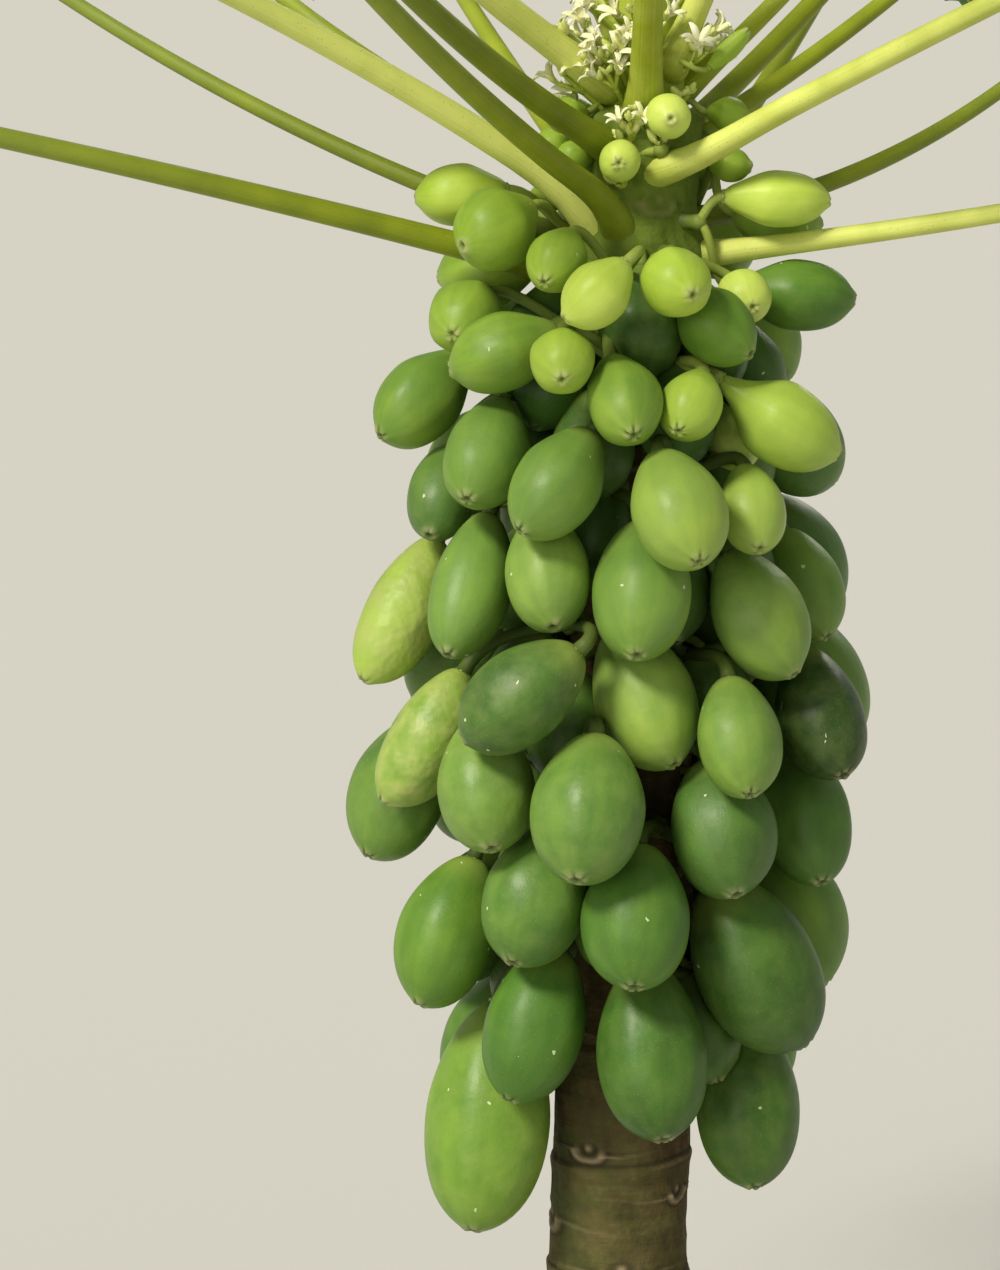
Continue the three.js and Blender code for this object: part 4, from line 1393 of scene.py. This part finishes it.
def makeInnerFruit():
    balls, radii = [], []
    for f in allFruit:
        for k, share in zip((-1, 0, 1), ballShares):
            balls.append(f["middle"] + f["axis"] * k * (f["long"] / 2 - 0.4 * f["wide"]))
            radii.append(f["wide"] * share)
    limbs = np.concatenate([path[:16] for path in petiolePaths])
    taken = [(np.array(balls), np.array(radii)), (np.concatenate(stalkLines), stalk["radius"]),
             (limbs, petiole["radius"])]
    inner = fillGaps(innerFruit, taken)
    makeSmallFruit("inner_fruit", inner)
    young = fillGaps(youngFruit, taken)
    giveCharacter(longFruit)
    young.append(longFruit)
    makeSmallFruit("young_fruit", young)
    print("small fruit:", len(inner), "and", len(young))


makeInnerFruit()


# Leaves

leafStalk = {
    "sides": 20,
    "rings": 44,
    "slim": 0.94,        # over the solids' own radii
    "flare": (0.7, 0.55, 0.055),        # more width and more height at the foot, and their reach
    "ends": (0.8, 0.5),        # the first and the last ring are drawn in
    "melting": (0.3, 34),        # how much of the trunk's green the foot takes on, and for how long
    "pale": 0.75,        # towards the blade
}
bladeShape = {
    "reach": 375,
    "sinus": 0.37,
    "nod": 26,
    "sag": 0.2,
    "lobes": [(0, 1), (44, 0.95), (88, 0.82), (132, 0.62)],
    "youngLobes": [(0, 1), (46, 0.85), (92, 0.6)],
    "sweep": 52,        # angle from a midrib to its side veins
    "merged": 0.385,        # share of the reach in which the lobes are one
    "ringStep": 0.0235,        # between rings of points there
    "across": [0, 0.04, 0.16, 0.38, 0.68, 1.0],
    # share of the lobe's length where a side vein leaves, then how far the edge lies along it
    "edge": [(0.395, 0.150), (0.500, 0.290), (0.580, 0.132), (0.672, 0.196), (0.730, 0.080),
             (0.805, 0.108), (0.850, 0.046), (1.0, 0.0)],
    "firstVein": 1.5,        # the side veins' count at the first of them
    "thick": 1.1,
    "puff": 0.010,        # how far the skin swells between veins
    "fold": 0.10,        # how far a lobe's edges lift
}


def edgeSteps():        # places along a lobe, and the side veins' count there
    keys = bladeShape["edge"]
    places, counts = [0], [0]
    for k in range(len(keys) - 1):
        parts = 5 if k % 2 == 0 else 3
        for j in range(parts):
            places.append(keys[k][0] + (keys[k + 1][0] - keys[k][0]) * j / parts)
            counts.append(bladeShape["firstVein"] + 0.5 * (k + j / parts))
    return places + [1.0], counts + [bladeShape["firstVein"] + 0.5 * (len(keys) - 1)]


def edgeWidth(place):        # how far the edge lies out along the side vein
    keys = bladeShape["edge"]
    if place <= keys[0][0]:
        return keys[0][1]
    for k, ((low, before), (high, after)) in enumerate(zip(keys, keys[1:])):
        if place <= high + 1e-9:
            share = (place - low) / (high - low)
            curve = 1.35 if after > before else 0.8 if k < len(keys) - 2 else 1.15
            return before + (after - before) * share ** curve
    return 0.0


def lobeWidth(t, notch, apart, slope):        # at t along the midrib, where the gap is met t * apart out
    line = t * slope        # where the line between two lobes lies
    if t * apart <= notch + 1e-6:
        return line
    begun = notch / apart
    merged = bladeShape["edge"][0][0]
    if t >= merged:
        return edgeWidth(t)
    ease = min(1.0, (t - begun) / max(merged - begun, 0.02))
    return begun * slope + (edgeWidth(t) - begun * slope) * ease


def makeLobe(angle, share, notches, half):
    facts = bladeShape
    sweep = math.radians(facts["sweep"])
    factor = math.sin(sweep) / math.sin(sweep - half)        # of the line between lobes, over the midrib
    slope = factor / math.sin(sweep) * math.sin(half)
    places, counts = edgeSteps()
    columns = facts["across"]
    last = len(columns) - 1
    rings = np.arange(int(facts["merged"] / facts["ringStep"]) + 1) * facts["ringStep"]
    steps = list(rings / factor / share)
    steps += [p for p in places if p > steps[-1] + 0.01]
    deselect()
    bpy.ops.mesh.primitive_grid_add(x_subdivisions=len(steps) - 1, y_subdivisions=2 * last, size=2)
    lobe = bpy.context.object
    co = coordinates(lobe.data)
    rows = np.rint((co[:, 0] + 1) / 2 * (len(steps) - 1)).astype(int)
    across = np.rint((co[:, 1] + 1) * last).astype(int) - last
    points = np.zeros_like(co)
    uv = np.zeros((len(co), 2))
    a = math.radians(angle)
    for v, (row, column) in enumerate(zip(rows, across)):
        t = steps[row]
        count = np.interp(t, places, counts)
        side = 1 if column >= 0 else -1
        s = columns[abs(column)]
        width = s * lobeWidth(t, notches[side > 0], factor * share, slope)
        ahead = t + width * math.cos(sweep)
        beside = side * width * math.sin(sweep)
        swell = 0.5 - 0.5 * math.cos(2 * math.pi * count)
        lift = facts["puff"] * swell * math.sin(math.pi * min(1, s * 1.2)) + facts["fold"] * width * t
        points[v] = (share * (ahead * math.cos(a) - beside * math.sin(a)),
                     share * (ahead * math.sin(a) + beside * math.cos(a)), share * lift)
        uv[v] = (count, width * share)
    lobe.data.vertices.foreach_set("co", points.ravel())
    corners = np.empty(len(lobe.data.loops), int)
    lobe.data.loops.foreach_get("vertex_index", corners)
    lobe.data.uv_layers.active.data.foreach_set("uv", uv[corners].ravel())
    return lobe


def makeBladeForm(name, halfLobes):
    lobes = [(-a, s) for a, s in reversed(halfLobes[1:])] + list(halfLobes)
    parts = []
    for i, (angle, share) in enumerate(lobes):
        notches = []        # how far out the lobe parts from its neighbour, on each side
        for other in (i - 1, i + 1):
            neighbour = lobes[other][1] if 0 <= other < len(lobes) else share * 0.9
            notches.append(bladeShape["sinus"] * (share + neighbour) / 2)
        parts.append(makeLobe(angle, share, notches, math.radians(halfLobes[1][0] / 2)))
    form = joinAs(name, parts)
    bpy.ops.object.mode_set(mode="EDIT")
    bpy.ops.mesh.select_all(action="SELECT")
    bpy.ops.mesh.remove_doubles(threshold=0.0008)
    bpy.ops.mesh.normals_make_consistent(inside=False)
    bpy.ops.object.mode_set(mode="OBJECT")
    if sum(face.normal.z for face in form.data.polygons) < 0:
        form.data.flip_normals()
    return form


def bladePoints(form, centre, out, side, reach, seed, cup=0.0):
    draw = seeded(seed)
    co = coordinates(form.data)
    far = np.hypot(co[:, 0], co[:, 1])
    psi = np.arctan2(co[:, 1], co[:, 0])
    p1, p2, p3 = (3.1 * draw() for _ in range(3))
    spread = psi + 0.05 * np.sin(3 * psi + p1)
    long = far * (1 + 0.04 * np.sin(2.2 * psi + p2))
    sag = (bladeShape["sag"] - cup) * long ** 2 * (1 + 0.3 * np.sin(2 * psi + p3))
    wave = 0.03 * long ** 2 * np.sin(5 * psi + 2 * p1) + 0.02 * long ** 2 * np.sin(9 * long + p2)
    lift = co[:, 2] - sag + wave
    flat = np.outer(long * np.cos(spread), out) + np.outer(long * np.sin(spread), side)
    return centre + (flat + np.outer(lift, np.cross(out, side))) * reach


def thicken(piece, thick, **settings):
    shell = piece.modifiers.new("thickness", "SOLIDIFY")
    shell.thickness = thick
    for name, value in settings.items():
        setattr(shell, name, value)
    only(piece)
    bpy.ops.object.modifier_apply(modifier=shell.name)


def makeBlade(form, name, points, tone, skinsUsed, nodes):
    piece = copyOf(form, name, points, tone=tone)
    only(piece)
    bpy.ops.object.shade_smooth()
    piece.data.materials.clear()
    for skin in skinsUsed:        # the underside has its own finish
        piece.data.materials.append(skins[skin])
    thicken(piece, bladeShape["thick"] * 0.001, offset=-1, material_offset=1, material_offset_rim=1)
    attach(piece, "root")
    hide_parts(*nodes)


def makeLeaves():
    facts = leafStalk
    form = makeBladeForm("bladeForm", bladeShape["lobes"])
    tube = makeTubeForm(facts["sides"], facts["rings"])
    far = coordinates(tube.data)[:, 2]
    steps = np.linspace(0, 1, facts["rings"] + 1)
    flareWide, flareHigh, flareReach = facts["flare"]
    flare = np.exp(-(steps / flareReach) ** 1.3)
    greenShare, greenReach = facts["melting"]
    for i, (bearing, height, rise, length, bend, bright, thick) in enumerate(leaves):
        node = "leaf_%02d" % (i + 1)
        grown = length / leaves[0][3]
        path = petiolePaths[i]
        radii = petiole["radius"] + (petiole["tipRadius"] - petiole["radius"]) * steps
        radii *= (0.55 + 0.45 * grown) * thick * facts["slim"]
        across, over = radii * (1 + flareWide * flare), radii * (1 + flareHigh * flare)
        for sizes in (across, over):
            sizes[[0, -1]] *= facts["ends"]
        # bright is each stalk's colour with its painted light and shade
        tone = bright * (1 - greenShare * np.exp(-(far * length / greenReach) ** 2))
        stalkPiece = copyOf(tube, "leaf_stalk_%02d" % (i + 1), layTube(tube, path, across, over), tone=tone,
                            far=facts["pale"] * smoothstep(0.25, 1.0, far))
        finishPiece(stalkPiece, skins["leafStalk"], [node])
        out = direction(bearing, 0.5 * (rise - 12) - bladeShape["nod"])
        side = direction(bearing + 90)
        reach = bladeShape["reach"] * (0.45 + 0.55 * grown)
        centre = path[-1] + np.cross(out, side) * petiole["tipRadius"] * 0.45
        points = bladePoints(form, centre, out, side, reach, 40 + i)
        tone = 0.25 + 0.5 * (height - 1545) / 230        # the upper leaves are lighter
        makeBlade(form, "leaf_blade_%02d" % (i + 1), points, tone, ("bladeTop", "bladeUnder"), [node])
    drop(form, tube)


makeLeaves()
print("leaves made:", len(leaves))


# Growing tip

tipShape = {
    "stemSides": 32,
    "stemRings": 36,
    "clear": 0.3,        # between the bark's top and the stem
    "youngFoot": (6, 62, 12),        # a young leaf's: out from the middle, below the tip, step up
    "youngRadii": (12, 8, 6),
    "youngReach": 190,
    "budRise": 38,
    "twigRadius": 3.2,
    "arms": (3, 40, 14, 8),        # of a twig: how many, degrees apart, degrees steeper each, stray
    "armBuds": (3, 75),        # how many, degrees apart
    "bud": (6.2, 17),        # half width and length of a bud
    "petal": 23,        # length of a flower with its petals
    "moreTwigs": 18,
    "moreHeights": (1640, 1862),
    # bearing, height, length and whether the flowers are open, on the side that faces the camera
    "sprays": [(-64, 1690, 84, 1), (-58, 1730, 88, 1), (-30, 1700, 64, 1), (-22, 1735, 66, 1),
               (-36, 1772, 70, 1), (52, 1736, 66, 1), (-34, 1718, 58, 1), (-12, 1764, 56, 1),
               (-12, 1676, 40, 0), (-14, 1650, 46, 0), (6, 1664, 46, 0), (16, 1644, 44, 0),
               (-24, 1630, 40, 0), (-20, 1606, 40, 0)],
}


def makeStem():
    facts = tipShape
    tube = makeTubeForm(facts["stemSides"], facts["stemRings"])
    co = coordinates(tube.data)
    low = trunk["top"] + facts["clear"]
    z = low + co[:, 2] * (trunk["tip"] - low)
    theta = np.arctan2(co[:, 0], -co[:, 1])
    swell = 1 + 0.05 * np.sin(z / 11 + theta) + 0.03 * np.cos(5 * theta + z / 18)
    points = roundTrunk(theta, z, skinAt(z) * swell * np.hypot(co[:, 0], co[:, 1]))
    piece = copyOf(tube, "tip_stem", points, tone=0.5 + 0.3 * co[:, 2], far=0.0)
    drop(tube)
    finishPiece(piece, skins["greenTip"], ["growing_tip"])


def makeYoungLeaves():
    facts = tipShape
    form = makeBladeForm("youngForm", bladeShape["youngLobes"])
    tube = makeTubeForm(16, 24)
    far = coordinates(tube.data)[:, 2]
    steps = np.linspace(0, 1, 25)
    out, below, higher = facts["youngFoot"]
    for k, (bearing, rise, length) in enumerate(youngLeaves):
        start = besideTrunk(direction(bearing), out, trunk["tip"] - below + higher * k)
        end = start + direction(bearing, rise) * length
        size = length / youngLeaves[0][2]
        path = start + np.outer(np.linspace(0, 1, 30), end - start)
        radii = np.interp(steps, (0, 0.5, 1), facts["youngRadii"]) * size * 0.92
        radii[-1] *= 0.6
        stalkPiece = copyOf(tube, "young_stalk_%02d" % (k + 1), layTube(tube, path, radii), tone=0.8,
                            far=0.4 * far)
        finishPiece(stalkPiece, skins["greenTip"], ["growing_tip"])
        points = bladePoints(form, end, direction(bearing, rise - 50), direction(bearing + 90),
                             facts["youngReach"] * size, 80 + k, cup=0.1)
        makeBlade(form, "young_blade_%02d" % (k + 1), points, 0.5, ("youngTop", "youngUnder"),
                  ["growing_tip"])
    drop(form, tube)


def makeBudForm():        # an egg from z 0 to z 1
    deselect()
    bpy.ops.mesh.primitive_uv_sphere_add(segments=8, ring_count=7, radius=1, location=(0, 0, 1))
    form = bpy.context.object
    bpy.ops.object.transform_apply(location=True)
    co = coordinates(form.data)
    co[:, :2] *= 1 - 0.35 * (co[:, 2:] / 2) ** 1.5
    co[:, 2] /= 2
    form.data.vertices.foreach_set("co", co.ravel())
    return form


def makePetalForm():        # five narrow petals that curl back, round z
    petals = []
    for k in range(5):
        deselect()
        bpy.ops.mesh.primitive_grid_add(x_subdivisions=5, y_subdivisions=2, size=2)
        petal = bpy.context.object
        co = coordinates(petal.data)
        t = (co[:, 0] + 1) / 2
        far = 0.08 + 0.80 * t ** 1.5
        beside = co[:, 1] * np.sin(math.pi * (0.12 + 0.82 * t)) * 0.17 + 0.12 * t ** 2
        high = 0.80 * np.sin(1.7 * t) - 0.10 * t ** 2 + 0.06 * co[:, 1] ** 2
        a = 2 * math.pi * k / 5
        x, y = far * math.cos(a) - beside * math.sin(a), far * math.sin(a) + beside * math.cos(a)
        petal.data.vertices.foreach_set("co", np.stack([x, y, high], axis=1).ravel())
        petals.append(petal)
    form = joinAs("petalForm", petals)
    thicken(form, 0.05)
    return form


def aimed(form, name, start, aim, wide, long):        # a copy of a unit form, laid from start along aim
    co = coordinates(form.data) * (wide, wide, long)
    side = sideOf(aim)
    return copyOf(form, name, start + co @ np.array([side, np.cross(aim, side), aim]))


def allTwigs():        # the source's twigs, then smaller ones up the growing tip
    facts = tipShape
    draw = seeded(61)
    rows = [(bearing, height, length, 1) for bearing, height, length in twigs]
    low, high = facts["moreHeights"]
    for k in range(facts["moreTwigs"]):
        bearing = -150 + barkRelief["turn"] * k + 12 * draw()
        height = low + (high - low) * k / facts["moreTwigs"]
        rows.append((bearing, height, 52 + 12 * draw(), k % 2))
    return rows + facts["sprays"]


def makeBlossom():
    facts = tipShape
    tube, budForm, petalForm = makeTubeForm(6, 4), makeBudForm(), makePetalForm()
    draw = seeded(71)
    stems, buds, petals = [], [], []
    radius = facts["twigRadius"]
    arms, armTurn, armRise, stray = facts["arms"]
    armBuds, budTurn = facts["armBuds"]
    wide, long = facts["bud"]

    def addTwig(line, radii, tone):
        stems.append(copyOf(tube, "twig", layTube(tube, line, radii), tone=tone, far=0.0))
    for bearing, height, length, opened in allTwigs():
        start = besideTrunk(direction(bearing), skinAt(height) - 6, height)
        fork = start + direction(bearing, facts["budRise"]) * length * 0.45
        addTwig([start, (start + fork) / 2, fork], [radius * 1.2, radius, radius], 0.75)
        for arm in range(arms):
            turn = arm - (arms - 1) / 2
            aim = direction(bearing + armTurn * turn + stray * draw(),
                            facts["budRise"] + armRise * turn + stray * draw())
            end = fork + aim * length * (0.30 + 0.06 * draw())
            addTwig([fork - aim * 2, (fork + end) / 2, end], [radius, radius * 0.8, radius * 0.7], 0.85)
            for small in range(armBuds):
                around = bearing + armTurn * turn + budTurn * (small - 1)
                lean = direction(around + 20 * draw(), 40 + 25 * draw())
                tip = end + unit(aim + 0.9 * lean) * (4 + 2 * draw())
                heading = unit(aim * 0.6 + lean)
                grown = 0.75 + 0.3 * draw()
                budWide, budLong = wide * grown * 0.75, long * grown
                if opened and small == 1 and arm != 1:
                    reach = facts["petal"] * (0.85 + 0.15 * draw())
                    budWide, budLong = wide * 0.55, long * 0.6
                    petals.append(aimed(petalForm, "petals", tip + heading * 3, heading, reach, reach))
                buds.append(aimed(budForm, "bud", tip - heading * 3, heading, budWide, budLong))
    finished = [("twigs", stems, "greenTip"), ("buds", buds, "bud"), ("petals", petals, "petal")]
    for name, parts, skin in finished:
        finishPiece(joinAs(name, parts), skins[skin], ["growing_tip"])
    drop(tube, budForm, petalForm)


makeStem()
makeYoungLeaves()
makeBlossom()
print("growing tip made")


# The light that falls through the crown: leaf blades throw no shadow in it
def lightThroughLeaves():
    blades = bpy.data.collections.new("blades")
    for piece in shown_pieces():
        if "_blade_" in piece.name:
            blades.objects.link(piece)
    for member in blades.collection_objects:
        member.light_linking.link_state = "EXCLUDE"
    bpy.data.objects["dappled"].light_linking.blocker_collection = blades


lightThroughLeaves()

triangles = sum(len(p.vertices) - 2 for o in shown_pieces() for p in o.data.polygons)
print("triangles in all:", triangles)
